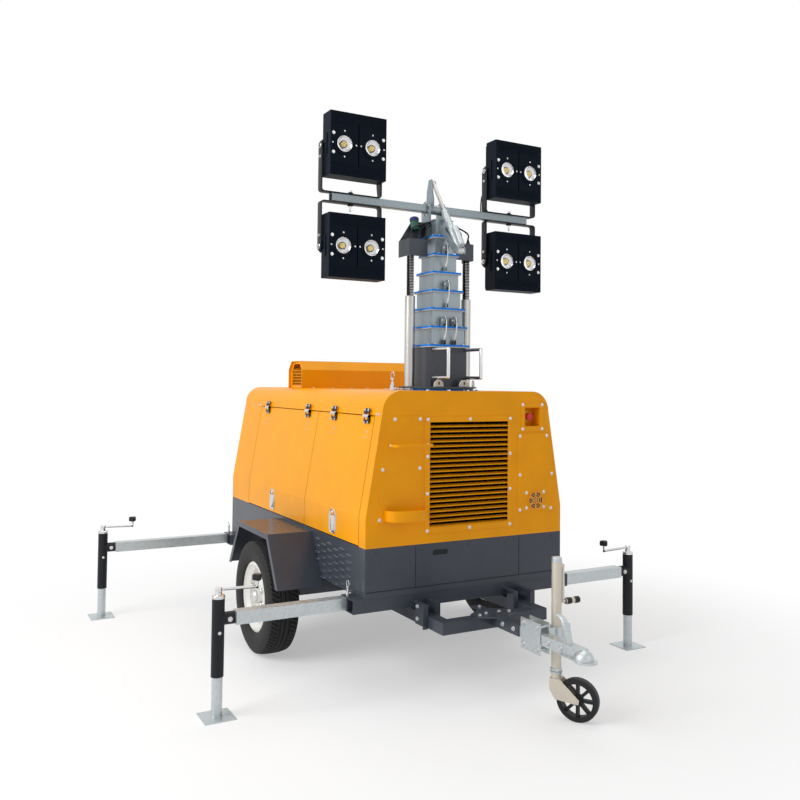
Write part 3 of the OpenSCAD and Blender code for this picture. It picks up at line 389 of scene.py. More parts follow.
def hex_bolt(radius: float, rise: float) -> Surface:
    """A six-sided bolt head on a round washer, standing on local z = 0."""
    washer = lathe([(radius * 1.35, 0), (radius * 1.35, rise * 0.2), (radius * 1.25, rise * 0.28)], 18)
    head = lathe([(radius, rise * 0.2), (radius, rise * 0.86), (radius * 0.84, rise), (radius * 0.3, rise)], 6)
    return join([washer, head])


class Grain(Enum):
    """What the surface of a finish shows close up."""

    PAINT = "gloss paint with a faint orange peel"
    POWDER = "powder coat"
    SPANGLE = "galvanised zinc"
    BRUSHED = "metal brushed along z"
    METAL = "plain plated metal"
    RUBBER = "rubber"
    PLASTIC = "moulded plastic"
    GLASS = "clear glass"


def linear(colour: tuple[int, int, int]) -> tuple[float, float, float, float]:
    """A display colour of 0 to 255 as linear light with full alpha."""
    part = np.array(colour, float) / 255
    light = np.where(part <= 0.04045, part / 12.92, ((part + 0.055) / 1.055) ** 2.4)
    return (float(light[0]), float(light[1]), float(light[2]), 1.0)


@dataclass(frozen=True)
class Finish:
    """One finish: its colour, its grain and how it takes light.

    second is the colour of the places whose tone is 1, where a piece has two colours.
    """

    name: str
    slot: str
    colour: tuple[int, int, int]
    grain: Grain
    roughness: float
    metallic: float = 0.0
    variation: float = 0.06
    bump: float = 0.1
    coat: float = 0.0
    gloss: float = 0.5
    second: tuple[int, int, int] | None = None

    def material(self) -> bpy.types.Material:
        """The finish as a material, made once.

        Returns:
            The material of that name.
        """
        found = bpy.data.materials.get(self.name)
        if found:
            return found
        made = bpy.data.materials.new(self.name)
        made.use_nodes = True
        tree = made.node_tree
        shader = tree.nodes["Principled BSDF"]
        shader.inputs["Metallic"].default_value = self.metallic
        shader.inputs["Specular IOR Level"].default_value = self.gloss
        shader.inputs["Coat Weight"].default_value = self.coat
        shader.inputs["Coat Roughness"].default_value = 0.08
        if self.grain is Grain.GLASS:
            shader.inputs["Transmission Weight"].default_value = 1.0
            shader.inputs["IOR"].default_value = 1.45
        place = tree.nodes.new("ShaderNodeTexCoord").outputs["Object"]
        broad = self.pattern(tree, place)
        colour = self.blend(tree, broad, self.shade(0.55), self.shade(-0.55))
        if self.second:
            tone = tree.nodes.new("ShaderNodeAttribute")
            tone.attribute_name = "tone"
            colour = self.over(tree, tone.outputs["Fac"], colour, linear(self.second))
        tree.links.new(colour, shader.inputs["Base Color"])
        spread = tree.nodes.new("ShaderNodeMapRange")
        spread.inputs["To Min"].default_value = max(self.roughness - 0.07, 0.02)
        spread.inputs["To Max"].default_value = min(self.roughness + 0.09, 1.0)
        tree.links.new(broad, spread.inputs["Value"])
        tree.links.new(spread.outputs["Result"], shader.inputs["Roughness"])
        fine = tree.nodes.new("ShaderNodeTexNoise")
        fine.inputs["Scale"].default_value = {
            Grain.PAINT: 260.0,
            Grain.POWDER: 900.0,
            Grain.SPANGLE: 500.0,
            Grain.BRUSHED: 700.0,
            Grain.METAL: 300.0,
            Grain.RUBBER: 600.0,
            Grain.PLASTIC: 1100.0,
            Grain.GLASS: 20.0,
        }[self.grain]
        tree.links.new(place, fine.inputs["Vector"])
        relief = tree.nodes.new("ShaderNodeBump")
        relief.inputs["Strength"].default_value = self.bump
        relief.inputs["Distance"].default_value = 0.0006
        tree.links.new(fine.outputs["Fac"], relief.inputs["Height"])
        tree.links.new(relief.outputs["Normal"], shader.inputs["Normal"])
        return made

    def shade(self, amount: float) -> tuple[float, float, float, float]:
        """The colour made lighter or darker by a share of the finish's variation."""
        light = linear(self.colour)
        scale = 1 + amount * self.variation * 2
        return (min(light[0] * scale, 1), min(light[1] * scale, 1), min(light[2] * scale, 1), 1.0)

    def pattern(self, tree: bpy.types.NodeTree, place: bpy.types.NodeSocket) -> bpy.types.NodeSocket:
        """The broad pattern of the finish, from 0 to 1.

        Args:
            tree: The material's nodes.
            place: The point on the object.

        Returns:
            The socket that carries the pattern.
        """
        if self.grain is Grain.SPANGLE:
            cells = tree.nodes.new("ShaderNodeTexVoronoi")
            cells.inputs["Scale"].default_value = 95.0
            tree.links.new(place, cells.inputs["Vector"])
            split = tree.nodes.new("ShaderNodeSeparateColor")
            tree.links.new(cells.outputs["Color"], split.inputs["Color"])
            return split.outputs["Red"]
        noise = tree.nodes.new("ShaderNodeTexNoise")
        noise.inputs["Detail"].default_value = 6.0
        if self.grain is Grain.BRUSHED:
            stretch = tree.nodes.new("ShaderNodeMapping")
            stretch.inputs["Scale"].default_value = (420.0, 420.0, 5.0)
            tree.links.new(place, stretch.inputs["Vector"])
            tree.links.new(stretch.outputs["Vector"], noise.inputs["Vector"])
            noise.inputs["Scale"].default_value = 1.0
        else:
            broad = {Grain.RUBBER: 22.0, Grain.POWDER: 9.0, Grain.METAL: 30.0}.get(self.grain, 5.0)
            noise.inputs["Scale"].default_value = broad
            tree.links.new(place, noise.inputs["Vector"])
        return noise.outputs["Fac"]

    def blend(
        self, tree: bpy.types.NodeTree, factor: bpy.types.NodeSocket, high: tuple, low: tuple
    ) -> bpy.types.NodeSocket:
        """A colour that runs from low to high as the pattern rises.

        Args:
            tree: The material's nodes.
            factor: The pattern.
            high: Colour where the pattern is 1.
            low: Colour where the pattern is 0.

        Returns:
            The socket that carries the colour.
        """
        ramp = tree.nodes.new("ShaderNodeValToRGB")
        ramp.color_ramp.elements[0].position = 0.25
        ramp.color_ramp.elements[0].color = low
        ramp.color_ramp.elements[1].position = 0.75
        ramp.color_ramp.elements[1].color = high
        tree.links.new(factor, ramp.inputs["Fac"])
        return ramp.outputs["Color"]

    def over(
        self, tree: bpy.types.NodeTree, factor: bpy.types.NodeSocket, base: bpy.types.NodeSocket, top: tuple
    ) -> bpy.types.NodeSocket:
        """A second colour laid over the first by a factor.

        Args:
            tree: The material's nodes.
            factor: 0 for the base and 1 for the top colour.
            base: The first colour.
            top: The second colour.

        Returns:
            The socket that carries the mixed colour.
        """
        mix = tree.nodes.new("ShaderNodeMix")
        mix.data_type = "RGBA"
        tree.links.new(factor, mix.inputs["Factor"])
        tree.links.new(base, mix.inputs["A"])
        mix.inputs["B"].default_value = top
        return mix.outputs["Result"]


YELLOW = Finish("canopy_yellow", "canopy_paint", (243, 160, 3), Grain.PAINT, 0.36, bump=0.05, coat=0.06, gloss=0.14)
SLATE = Finish("slate_powder", "slate_paint", (61, 66, 76), Grain.POWDER, 0.33, bump=0.07, coat=0.12, gloss=0.3)
JET = Finish("jet_powder", "black_paint", (22, 25, 30), Grain.POWDER, 0.45, bump=0.15, gloss=0.25)
LAMP = Finish("lamp_casting", "black_paint", (7, 16, 29), Grain.POWDER, 0.5, bump=0.2, gloss=0.07)
ZINC = Finish("galvanised_zinc", "galvanised", (192, 199, 201), Grain.SPANGLE, 0.36, 0.65, 0.045, 0.05)
DULL_ZINC = Finish("weathered_zinc", "galvanised", (146, 157, 162), Grain.SPANGLE, 0.38, 0.6, 0.05, 0.05)
STEEL = Finish("brushed_stainless", "stainless", (186, 184, 180), Grain.BRUSHED, 0.3, 1.0, 0.16, 0.08)
CHROME = Finish("bright_plate", "stainless", (214, 214, 214), Grain.METAL, 0.16, 1.0, 0.04, 0.02)
SCREW = Finish("plated_screws", "galvanised", (206, 206, 207), Grain.METAL, 0.32, 0.75, 0.05, 0.03)
BLUE = Finish(
    "blue_plate_paint", "blue_plate", (0, 130, 232), Grain.PAINT, 0.4, bump=0.05, gloss=0.15, second=(196, 190, 186)
)
TYRE = Finish("tyre_rubber", "tyre", (34, 33, 33), Grain.RUBBER, 0.66, 0.0, 0.16, 0.35, gloss=0.3)
RIM = Finish("rim_white", "rim_paint", (228, 227, 222), Grain.PAINT, 0.38, bump=0.04, coat=0.2)
CREAM = Finish("cream_enamel", "cream_paint", (206, 199, 184), Grain.PAINT, 0.38, 0.35, bump=0.05, coat=0.1)
CABLE = Finish("cable_sheath", "cable_rubber", (14, 14, 16), Grain.RUBBER, 0.5, 0.0, 0.1, 0.2, gloss=0.3)
# rubber of the seal under the doors, and also the painted shade of the strips in the gaps beside them
SEAL_AND_GAP_SHADE = Finish("door_seal_and_gap_shade", "cable_rubber", (16, 15, 14), Grain.RUBBER, 0.75, 0.0, 0.1, 0.3, gloss=0.2)
KNOB = Finish("black_knob", "wheel_plastic", (16, 18, 21), Grain.PLASTIC, 0.38, 0.0, 0.06, 0.15, gloss=0.35)
CASTOR = Finish("castor_plastic", "wheel_plastic", (26, 27, 29), Grain.PLASTIC, 0.5, 0.0, 0.08, 0.2, gloss=0.3)
RED = Finish("red_lens_glass", "red_lens", (190, 18, 22), Grain.PLASTIC, 0.22, 0.0, 0.04, 0.05, 0.5)
STOP = Finish("stop_button", "red_lens", (214, 38, 52), Grain.PLASTIC, 0.3, 0.0, 0.04, 0.05, second=(226, 205, 30))
ROPE = Finish("wire_rope", "galvanised", (226, 225, 220), Grain.METAL, 0.4, 0.35, 0.12, 0.4)
BOWL = Finish("lamp_reflector", "stainless", (236, 236, 240), Grain.METAL, 0.22, 0.7, 0.05, 0.02)
CHIP = Finish("lamp_chip", "canopy_paint", (240, 205, 82), Grain.PLASTIC, 0.4, 0.0, 0.1, 0.05, 0.4)
LENS = Finish("lamp_glass", "stainless", (250, 250, 250), Grain.GLASS, 0.04, 0.0, 0.0, 0.0)
# second colour: painted shade in the air vent's slots
VENT = Finish("vent_paint", "canopy_paint", (240, 154, 8), Grain.PAINT, 0.36, second=(24, 14, 6), bump=0.05)
# near-black radiator core: painted shade behind the louvre's gaps
CORE_SHADE = Finish("radiator_core_shade", "black_paint", (13, 9, 6), Grain.METAL, 0.7, 0.0, 0.2, 0.2, gloss=0.1)
GREEN = Finish("connector_green", "wheel_plastic", (24, 96, 74), Grain.PLASTIC, 0.4, bump=0.05, second=(40, 34, 120))


class Workshop:
    """Turns surfaces into pieces that ride on the bodies, and counts them."""

    def __init__(self) -> None:
        """Starts with no piece made."""
        self.count = 0

    def place(
        self, name: str, part: Surface, finish: Finish, body: str | None, crease: float = 32.0
    ) -> bpy.types.Object:
        """Makes one piece.

        Args:
            name: The piece's name.
            part: Its surface, in millimetres from the front of the body.
            finish: Its finish.
            body: The body on which it rides, or None for a piece that rides on none.
            crease: Angle in degrees above which an edge stays sharp.

        Returns:
            The piece's object, which sits at the origin.
        """
        mesh = bpy.data.meshes.new(name)
        points = (part.points + np.array([BODY_FRONT, 0, 0])) * MILLI
        mesh.from_pydata(points.tolist(), [], part.quads.tolist() + part.tris.tolist() + part.rings)
        tone = mesh.attributes.new("tone", "FLOAT", "POINT")
        tone.data.foreach_set("value", part.tone)
        mesh.materials.append(finish.material())
        mesh.shade_smooth()
        mesh.set_sharp_from_angle(angle=math.radians(crease))
        piece = bpy.data.objects.new(name, mesh)
        bpy.context.scene.collection.objects.link(piece)
        if body:
            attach(piece, body)
        self.count += 1
        log.info("%s on %s: %d points", name, body, len(points))
        return piece


@dataclass
class Studio:
    """Pale floor, soft lamps and the camera at the photograph's viewpoint."""

    eye: tuple[float, float, float] = (4.3938, -2.5233, 1.5750)
    yaw: float = 2.63937
    pitch: float = 0.035469
    roll: float = 0.010724
    lens: float = 37.82
    shift: tuple[float, float] = (0.0012, -0.0587)

    def build(self) -> None:
        """Sets the camera, the lamps, the world and the floor."""
        scene = bpy.context.scene
        scene.view_settings.view_transform = "Standard"
        self.camera(scene)
        self.lamp("key_lamp", (0.6, -6.2, 4.6), (0.0, 0.0, 1.0), 4.0, 292)
        self.lamp("fill_lamp", (6.5, 2.8, 3.6), (0.3, 0.0, 1.0), 4.0, 30)
        self.lamp("top_lamp", (-1.0, 0.6, 7.2), (-0.4, 0.0, 1.0), 5.0, 130)
        self.world(scene)
        self.floor()

    def camera(self, scene: bpy.types.Scene) -> None:
        """Builds the camera from its yaw, pitch and roll.

        Args:
            scene: The scene that takes the camera.
        """
        ahead = np.array(
            [
                math.cos(self.yaw) * math.cos(self.pitch),
                math.sin(self.yaw) * math.cos(self.pitch),
                math.sin(self.pitch),
            ]
        )
        right = np.cross(ahead, [0, 0, 1])
        right /= np.linalg.norm(right)
        up = np.cross(right, ahead)
        across = right * math.cos(self.roll) + up * math.sin(self.roll)
        above = up * math.cos(self.roll) - right * math.sin(self.roll)
        data = bpy.data.cameras.new("camera")
        data.lens = self.lens
        data.sensor_width = 36.0
        data.shift_x, data.shift_y = self.shift
        holder = bpy.data.objects.new("camera", data)
        turn = np.eye(4)
        turn[:3, 0], turn[:3, 1], turn[:3, 2], turn[:3, 3] = across, above, -ahead, self.eye
        holder.matrix_world = Matrix(turn.tolist())
        scene.collection.objects.link(holder)
        scene.camera = holder

    def lamp(self, name: str, at: tuple, aim: tuple, size: float, power: float) -> None:
        """Hangs one soft lamp.

        Args:
            name: The lamp's name.
            at: Its place, in metres.
            aim: The point that it faces, in metres.
            size: Side of its square face, in metres.
            power: Its power in watts.
        """
        data = bpy.data.lights.new(name, "AREA")
        data.size = size
        data.energy = power
        holder = bpy.data.objects.new(name, data)
        ray = np.array(aim) - np.array(at)
        z = -ray / np.linalg.norm(ray)
        x = np.cross([0, 0, 1], z)
        x /= np.linalg.norm(x)
        turn = np.eye(4)
        turn[:3, 0], turn[:3, 1], turn[:3, 2], turn[:3, 3] = x, np.cross(z, x), z, at
        holder.matrix_world = Matrix(turn.tolist())
        bpy.context.scene.collection.objects.link(holder)

    def white_rays(self, tree: bpy.types.NodeTree) -> bpy.types.NodeSocket:
        """1 for rays from the camera, a mirror or glass, and 0 for the rest.

        Args:
            tree: The nodes to add to.

        Returns:
            The socket that carries the switch.
        """
        path = tree.nodes.new("ShaderNodeLightPath")
        total = path.outputs["Is Camera Ray"]
        for kind in ("Is Glossy Ray", "Is Transmission Ray"):
            most = tree.nodes.new("ShaderNodeMath")
            most.operation = "MAXIMUM"
            tree.links.new(total, most.inputs[0])
            tree.links.new(path.outputs[kind], most.inputs[1])
            total = most.outputs[0]
        return total

    def world(self, scene: bpy.types.Scene) -> None:
        """White background with a plain grey light for everything else.

        Args:
            scene: The scene that takes the world.
        """
        world = bpy.data.worlds.new("studio_world")
        world.use_nodes = True
        scene.world = world
        tree = world.node_tree
        plain = tree.nodes["Background"]
        plain.inputs["Color"].default_value = (1, 1, 1, 1)
        plain.inputs["Strength"].default_value = 0.44
        white = tree.nodes.new("ShaderNodeBackground")
        white.inputs["Color"].default_value = (1, 1, 1, 1)
        white.inputs["Strength"].default_value = 1.0
        mix = tree.nodes.new("ShaderNodeMixShader")
        tree.links.new(self.white_rays(tree), mix.inputs["Fac"])
        tree.links.new(plain.outputs["Background"], mix.inputs[1])
        tree.links.new(white.outputs["Background"], mix.inputs[2])
        tree.links.new(mix.outputs["Shader"], tree.nodes["World Output"].inputs["Surface"])

    def floor(self) -> None:
        """A wide pale floor, matt near the object and fading to the background's white away from it."""
        side = 60.0
        mesh = bpy.data.meshes.new("floor")
        mesh.from_pydata([(-side, -side, 0), (side, -side, 0), (side, side, 0), (-side, side, 0)], [], [(0, 1, 2, 3)])
        made = bpy.data.materials.new("floor_pale")
        made.use_nodes = True
        tree = made.node_tree
        shader = tree.nodes["Principled BSDF"]
        shader.inputs["Base Color"].default_value = (0.97, 0.97, 0.97, 1)
        shader.inputs["Roughness"].default_value = 1.0
        glow = tree.nodes.new("ShaderNodeEmission")
        glow.inputs["Color"].default_value = (1, 1, 1, 1)
        place = tree.nodes.new("ShaderNodeTexCoord")
        away = tree.nodes.new("ShaderNodeVectorMath")
        away.operation = "LENGTH"
        tree.links.new(place.outputs["Object"], away.inputs[0])
        fade = tree.nodes.new("ShaderNodeMapRange")
        fade.interpolation_type = "SMOOTHSTEP"
        fade.inputs["From Min"].default_value = 1.2
        fade.inputs["From Max"].default_value = 3.4
        fade.inputs["To Min"].default_value = 0.4
        tree.links.new(away.outputs["Value"], fade.inputs["Value"])
        seen = tree.nodes.new("ShaderNodeMath")
        seen.operation = "MULTIPLY"
        tree.links.new(fade.outputs["Result"], seen.inputs[0])
        tree.links.new(self.white_rays(tree), seen.inputs[1])
        mix = tree.nodes.new("ShaderNodeMixShader")
        tree.links.new(seen.outputs["Value"], mix.inputs["Fac"])
        tree.links.new(shader.outputs["BSDF"], mix.inputs[1])
        tree.links.new(glow.outputs["Emission"], mix.inputs[2])
        tree.links.new(mix.outputs["Shader"], tree.nodes["Material Output"].inputs["Surface"])
        mesh.materials.append(made)
        holder = bpy.data.objects.new("floor", mesh)
        bpy.context.scene.collection.objects.link(holder)


@dataclass
class SolidFinishes:
    """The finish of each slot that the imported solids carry."""

    table: dict[str, Finish] = field(
        default_factory=lambda: {
            "canopy_paint": YELLOW,
            "slate_paint": SLATE,
            "black_paint": JET,
            "galvanised": ZINC,
            "stainless": STEEL,
            "blue_plate": BLUE,
            "tyre": TYRE,
            "rim_paint": RIM,
            "cream_paint": CREAM,
            "cable_rubber": CABLE,
            "red_lens": RED,
            "wheel_plastic": CASTOR,
        }
    )

    def dress(self) -> None:
        """Gives every solid the finish of each of its material slots, by the slot's name."""
        for name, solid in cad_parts.items():
            for holder in solid.material_slots:
                key = holder.material.name.split(".")[0] if holder.material else ""
                finish = self.table.get(key, SLATE)
                if name.startswith("lamp_") and name != "lamp_bar":
                    finish = LAMP
                if name.startswith("mast_section") and finish is ZINC:
                    finish = DULL_ZINC
                holder.link = "OBJECT"
                holder.material = finish.material()
            log.info("%s: %s", name, [h.material.name for h in solid.material_slots])


@dataclass
class FrontFace:
    """Louvre, covers, emergency stop, air vent and cable hooks on the front wall."""

    louvre_y: float = 265.0
    louvre_z: tuple[float, float] = (805.0, 1385.0)
    opening: float = 500.0
    blades: int = 21
    stop_y: float = 418.0
    stop_z: float = 1392.0
    vent: tuple[float, float] = (439.0, 925.0)
    vent_r: float = 48.0
    skin: float = 3.0

    def bolts(self, shop: Workshop) -> None:
        """Domed bolts round every cover on the front wall."""
        rows = np.linspace(*self.louvre_z, 4)
        spots = [(y, z) for y in (-self.louvre_y, self.louvre_y) for z in rows]
        spots += [(0.0, z) for z in self.louvre_z]
        spots += [(-312, 1388), (-462, 1388), (-312, 1133), (-530, 1133), (-312, 880), (-545, 880)]
        spots += [(333, 1285), (520, 1285), (333, 1070), (556, 1070), (333, 876), (550, 876)]
        spots += [(self.stop_y + a, self.stop_z + b) for a in (-68, 68) for b in (-68, 68)]
        spots += [(self.vent[0] + a, self.vent[1] + b) for a in (-60, 60) for b in (-40, 44)]
        head = bolt_head(6.8, 5.6).facing(Facing.FRONT)
        shop.place("front_bolts", stamp(head, [(self.skin, y, z) for y, z in spots]), SCREW, "trailer")

    def stop_button(self, shop: Workshop) -> None:
        """Red mushroom button on its yellow ring, both turned about +X."""
        cap = lathe(
            [(14, -42), (14, -34), (21.5, -33), (22.5, -29), (22.5, -25), (20.5, -20.5), (15, -17.5), (7, -16), (1, -15.8)],
            32,
        )
        ring = lathe([(34, -64), (34, -60), (30, -58), (17, -58), (17, -64)], 40, hollow=True).toned(1)
        part = join([cap.facing(Facing.FRONT), ring.facing(Facing.FRONT)]).moved(0, self.stop_y, self.stop_z)
        shop.place("stop_button", part, STOP, "trailer")

    def air_vent(self, shop: Workshop) -> None:
        """Round flat plate whose dark slots lie on three rings; the dark is painted shade standing for the openings.

        Tone is 1 where the radius is within a slot's ring and the angle is outside the six spokes.
        """
        radius = np.concatenate([np.linspace(0.5, self.vent_r, 49), [self.vent_r + 2.5]])
        angle = np.linspace(0, 2 * np.pi, 144, endpoint=False)
        r, a = np.meshgrid(radius, angle, indexing="ij")
        bands = (np.abs(r - 14) < 4.2) | (np.abs(r - 27) < 4.2) | (np.abs(r - 40) < 4.2)
        spokes = np.abs((a * 6 / (2 * np.pi) + (r > 20) * 0.5) % 1 - 0.5) > 0.42 - 2.2 / np.maximum(r, 6)
        # slots take the dark second colour, painted shade in place of openings
        slot = (bands & ~spokes) | (r < 4)
        height = np.where(r > self.vent_r, -1.2, 0.8)
        points = np.stack([r * np.cos(a), r * np.sin(a), height], -1)
        part = grid(points, wrap_columns=True, tone=slot)
        part.rings.append(list(range(144)))
        shop.place("air_vent", part.facing(Facing.FRONT, (9.0, *self.vent)), VENT, "trailer")

    def hooks(self, shop: Workshop) -> None:
        """Two smooth bands bent out from the wall and back, which stand for the bent strips."""
        low = curve_through([(2, -277, 900), (34, -280, 900), (66, -302, 900), (78, -350, 900), (80, -396, 900),
                             (76, -446, 900), (60, -490, 900), (30, -511, 900), (2, -514, 900)], 8)
        high = rounded_path([(2, -264, 1255), (68, -264, 1255), (68, -488, 1255), (2, -488, 1255)], 26)
        band = slab_section(4.0, 56.0)
        strap = slab_section(5.0, 14.0)
        part = join([sweep(low, band), sweep(high, strap)])
        piece = shop.place("cable_hook_bands", part, YELLOW, "trailer")
        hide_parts("cable_hooks")
        ears = [(6.5, -264, 1255), (6.5, -488, 1255), (6.5, -290, 900)]
        shop.place("cable_hook_bolts", stamp(bolt_head(6, 5).facing(Facing.FRONT), ears), SCREW, "trailer")

    def radiator(self, shop: Workshop) -> None:
        """Corrugated radiator core behind the louvre, near black, whose colour is painted shade for the dark inside
        seen through the gaps: depth is a sine of the place across it.
        """
        y = np.linspace(-262, 262, 263)
        z = np.linspace(812, 1378, 30)
        yy, zz = np.meshgrid(y, z, indexing="ij")
        points = np.stack([-66 + 3 * np.sin(yy * 1.4), yy, zz], -1)
        shop.place("radiator_core_shade", grid(points[:, ::-1]), CORE_SHADE, "trailer", 80)

    def louvre(self, shop: Workshop) -> None:
        """Frame with rounded edges and narrow sheet blades with dark gaps between them.

        The frame's section is a closed loop of (distance outside the opening, depth), carried round the
        opening. Each blade slopes back and up from a small upright lip.
        """
        loop = np.array([(0, -24), (0, 2.2), (0.8, 3.1), (29.4, 3.1), (30.1, 2.4), (30.1, -1), (1.6, -1), (1.6, -24)])
        corner = np.array([(1, 1), (-1, 1), (-1, -1), (1, -1)])
        y = (self.opening / 2 + loop[:, :1]) * corner[:, 0]
        low, high = self.louvre_z[0] + 15, self.louvre_z[1] - 15
        z = (low + high) / 2 + ((high - low) / 2 + loop[:, :1]) * corner[:, 1]
        x = np.repeat(loop[:, 1:], 4, 1)
        rim = grid(np.stack([x, y, z], -1), wrap_rows=True, wrap_columns=True).outward()
        fold = np.array([(1.2, 0), (3.0, 0), (3.0, 4.2), (-11.6, 12.4), (-12.4, 11.0), (1.2, 3.2)])
        strip = slab(fold, -self.opening / 2, self.opening / 2, 0)
        blade = Surface(strip.points[:, [0, 2, 1]], strip.quads, strip.tris, strip.rings).outward()
        pitch = (high - low - 2) / self.blades
        blades = stamp(blade, [(0, 0, low + 1 + pitch * k) for k in range(self.blades)])
        piece = shop.place("front_louvre_blades", join([rim, blades]), YELLOW, "trailer")
        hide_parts("front_louvre")

    def build(self, shop: Workshop) -> None:
        """Makes all the pieces of the front wall."""
        self.louvre(shop)
        self.bolts(shop)
        self.stop_button(shop)
        self.air_vent(shop)
        self.hooks(shop)
        self.radiator(shop)


def slab_section(thickness: float, height: float) -> np.ndarray:
    """Section of a flat band that stands on edge, with small bevels at its corners."""
    return oblong(thickness, height, min(thickness, height) * 0.3, 3)


@dataclass
class Doors:
    """Hinges, screws, paddle latches and seals of the four lift-up doors."""

    hinge_z: float = 1400.0
    hinges: dict[str, tuple[float, float]] = field(
        default_factory=lambda: {"front": (-150.0, -563.0), "rear": (-946.0, -1645.0)}
    )
    latches: dict[str, float] = field(default_factory=lambda: {"front": -399.0, "rear": -1333.0})
    spans: dict[str, tuple[float, float]] = field(
        default_factory=lambda: {"front": (-797.5, -80.0), "rear": (-1790.0, -802.5)}
    )

    @staticmethod
    def side_y(z: float) -> float:
        """Half width of the leaning side at height z."""
        return 622.0 if z <= 890 else 622.0 - (z - 890) * (622.0 - 533.0) / (1423.0 - 890.0)

    def leaf(self, x: float, low: float, high: float, out: float) -> Surface:
        """A dark hinge leaf against the leaning side, as a slab tilted with it."""
        middle = (low + high) / 2
        lean = math.degrees(math.atan2(622.0 - 533.0, 1423.0 - 890.0))
        flat = slab(oblong(66, high - low, 3), 0, 4, 0.8).turned("X", -lean)
        return flat.facing(Facing.LEFT, (x, self.side_y(middle) + out, middle))

    def barrel(self, x: float, start: float, end: float) -> Surface:
        """A length of a hinge's zinc barrel, from start to end beside x."""
        tube = lathe([(2, start), (9.3, start), (9.7, start + 0.6), (9.7, end - 0.6), (9.3, end), (2, end)], 20)
        return tube.facing(Facing.FRONT, (x, 548.84, self.hinge_z))

    def seam(self, x: float) -> Surface:
        """Dark strip in the gap beside a door, which follows the side's outline 4 mm below its skin: painted shade in
        the gap.
        """
        heights = (745.0, 890.0, 1398.0)
        outer = [(self.side_y(z) - 4, z) for z in heights]
        inner = [(self.side_y(z) - 20, z) for z in reversed(heights)]
        return slab(np.array(inner + outer), x - 2.1, x + 2.1, 0).outward().facing(Facing.FRONT)

    def screws(self, x: float, zs: tuple[float, ...], dx: float, out: float) -> list[tuple[float, float, float]]:
        """Places of screws in pairs at both sides of x."""
        return [(x + s * dx, self.side_y(z) + out, z) for s in (-1, 1) for z in zs]

    def latch(self, x: float) -> Surface:
        """Bright paddle latch in its recess: a rim, a crowned paddle and a lock.

        The paddle's height over its tray is crown (1 - u^2) (1 - 0.35 v), u running across and v along it.
        """
        rim = sweep(
            np.column_stack([oblong(76, 126, 30, 8), np.full(32, 1.5)]), disc(3.4, 8), closed=True
        )
        tray = slab(oblong(74, 124, 29, 8), -6, 1.2, 0.8)
        u, v = np.meshgrid(np.linspace(-1, 1, 13), np.linspace(-1, 1, 25), indexing="ij")
        width = 21 + 5 * v - 4 * v**4
        top = 3.5 + 7 * (1 - u**4) * (1 - 0.3 * v)
        paddle = grid(np.stack([u * width, v * 42 - 8, top], -1)[::-1])
        skirt = slab(oblong(48, 88, 14, 6), 0, 4, 1).moved(0, -8, 0)
        ring = lathe([(9, 0), (9, 5), (7.5, 7), (4, 7.2), (4, 6), (1, 6)], 20).moved(0, 46, 0)
        whole = join([rim, tray, paddle, skirt, ring])
        return whole.facing(Facing.LEFT, (x, 622.0, 822.5))

    def build(self, shop: Workshop) -> None:
        """Makes the dress of all four doors and of the fixed edge above them."""
        fixed, fixed_screws, edge, barrels = [], [], [], []
        for row in ("front", "rear"):
            moving, screws, turning = [], [], []
            for x in self.hinges[row]:
                barrels += [self.barrel(x, -30, -13.5), self.barrel(x, 13.5, 30)]
                turning.append(self.barrel(x, -11.5, 11.5))
                fixed.append(self.leaf(x, 1408, 1440, 11))
                moving.append(self.leaf(x, 1362, 1390, 6))
                fixed_screws += self.screws(x, (1432,), 19, 15.5)
                screws += self.screws(x, (1368,), 19, 10.5)
                screws += [(x + 14, self.side_y(1318), 1318.0), (x - 6, self.side_y(1290), 1290.0)]
            start, end = self.spans[row]
            seal = np.array([(start + 4, 617, 742.4), ((start + end) / 2, 617, 742.4), (end - 4, 617, 742.4)])
            parts = {
                "hinge_leaf": (join(moving), JET),
                "hinge_barrel": (join(turning), SCREW),
                "hinge_screw": (stamp(bolt_head(4.6, 4).facing(Facing.LEFT), screws), SCREW),
                "latch": (self.latch(self.latches[row]), CHROME),
                "seal": (sweep(seal, slab_section(9, 4.4)), SEAL_AND_GAP_SHADE),
            }
            for name, (part, finish) in parts.items():
                shop.place(f"{name}_left_{row}", part, finish, f"door_left_{row}")
                shop.place(f"{name}_right_{row}", part.mirrored(), finish, f"door_right_{row}")
        edge += [(x, self.side_y(1410) + 0.5, 1412.0) for x in (-28, -56, -1822, -1880, -1950)]
        heads = stamp(bolt_head(5.5, 5).facing(Facing.LEFT), edge + fixed_screws)
        shop.place("edge_screws", both_sides(heads), SCREW, "trailer")
        shop.place("fixed_hinge_leaves", both_sides(join(fixed)), JET, "trailer")
        shop.place("fixed_hinge_barrels", both_sides(join(barrels)), SCREW, "trailer")
        # dark strips that paint the shade in the gaps beside the doors
        seams = [self.seam(x) for x in (-77.5, -800.0, -1792.5)]
        shop.place("door_gap_shade_strips", both_sides(join(seams)), SEAL_AND_GAP_SHADE, "trailer")


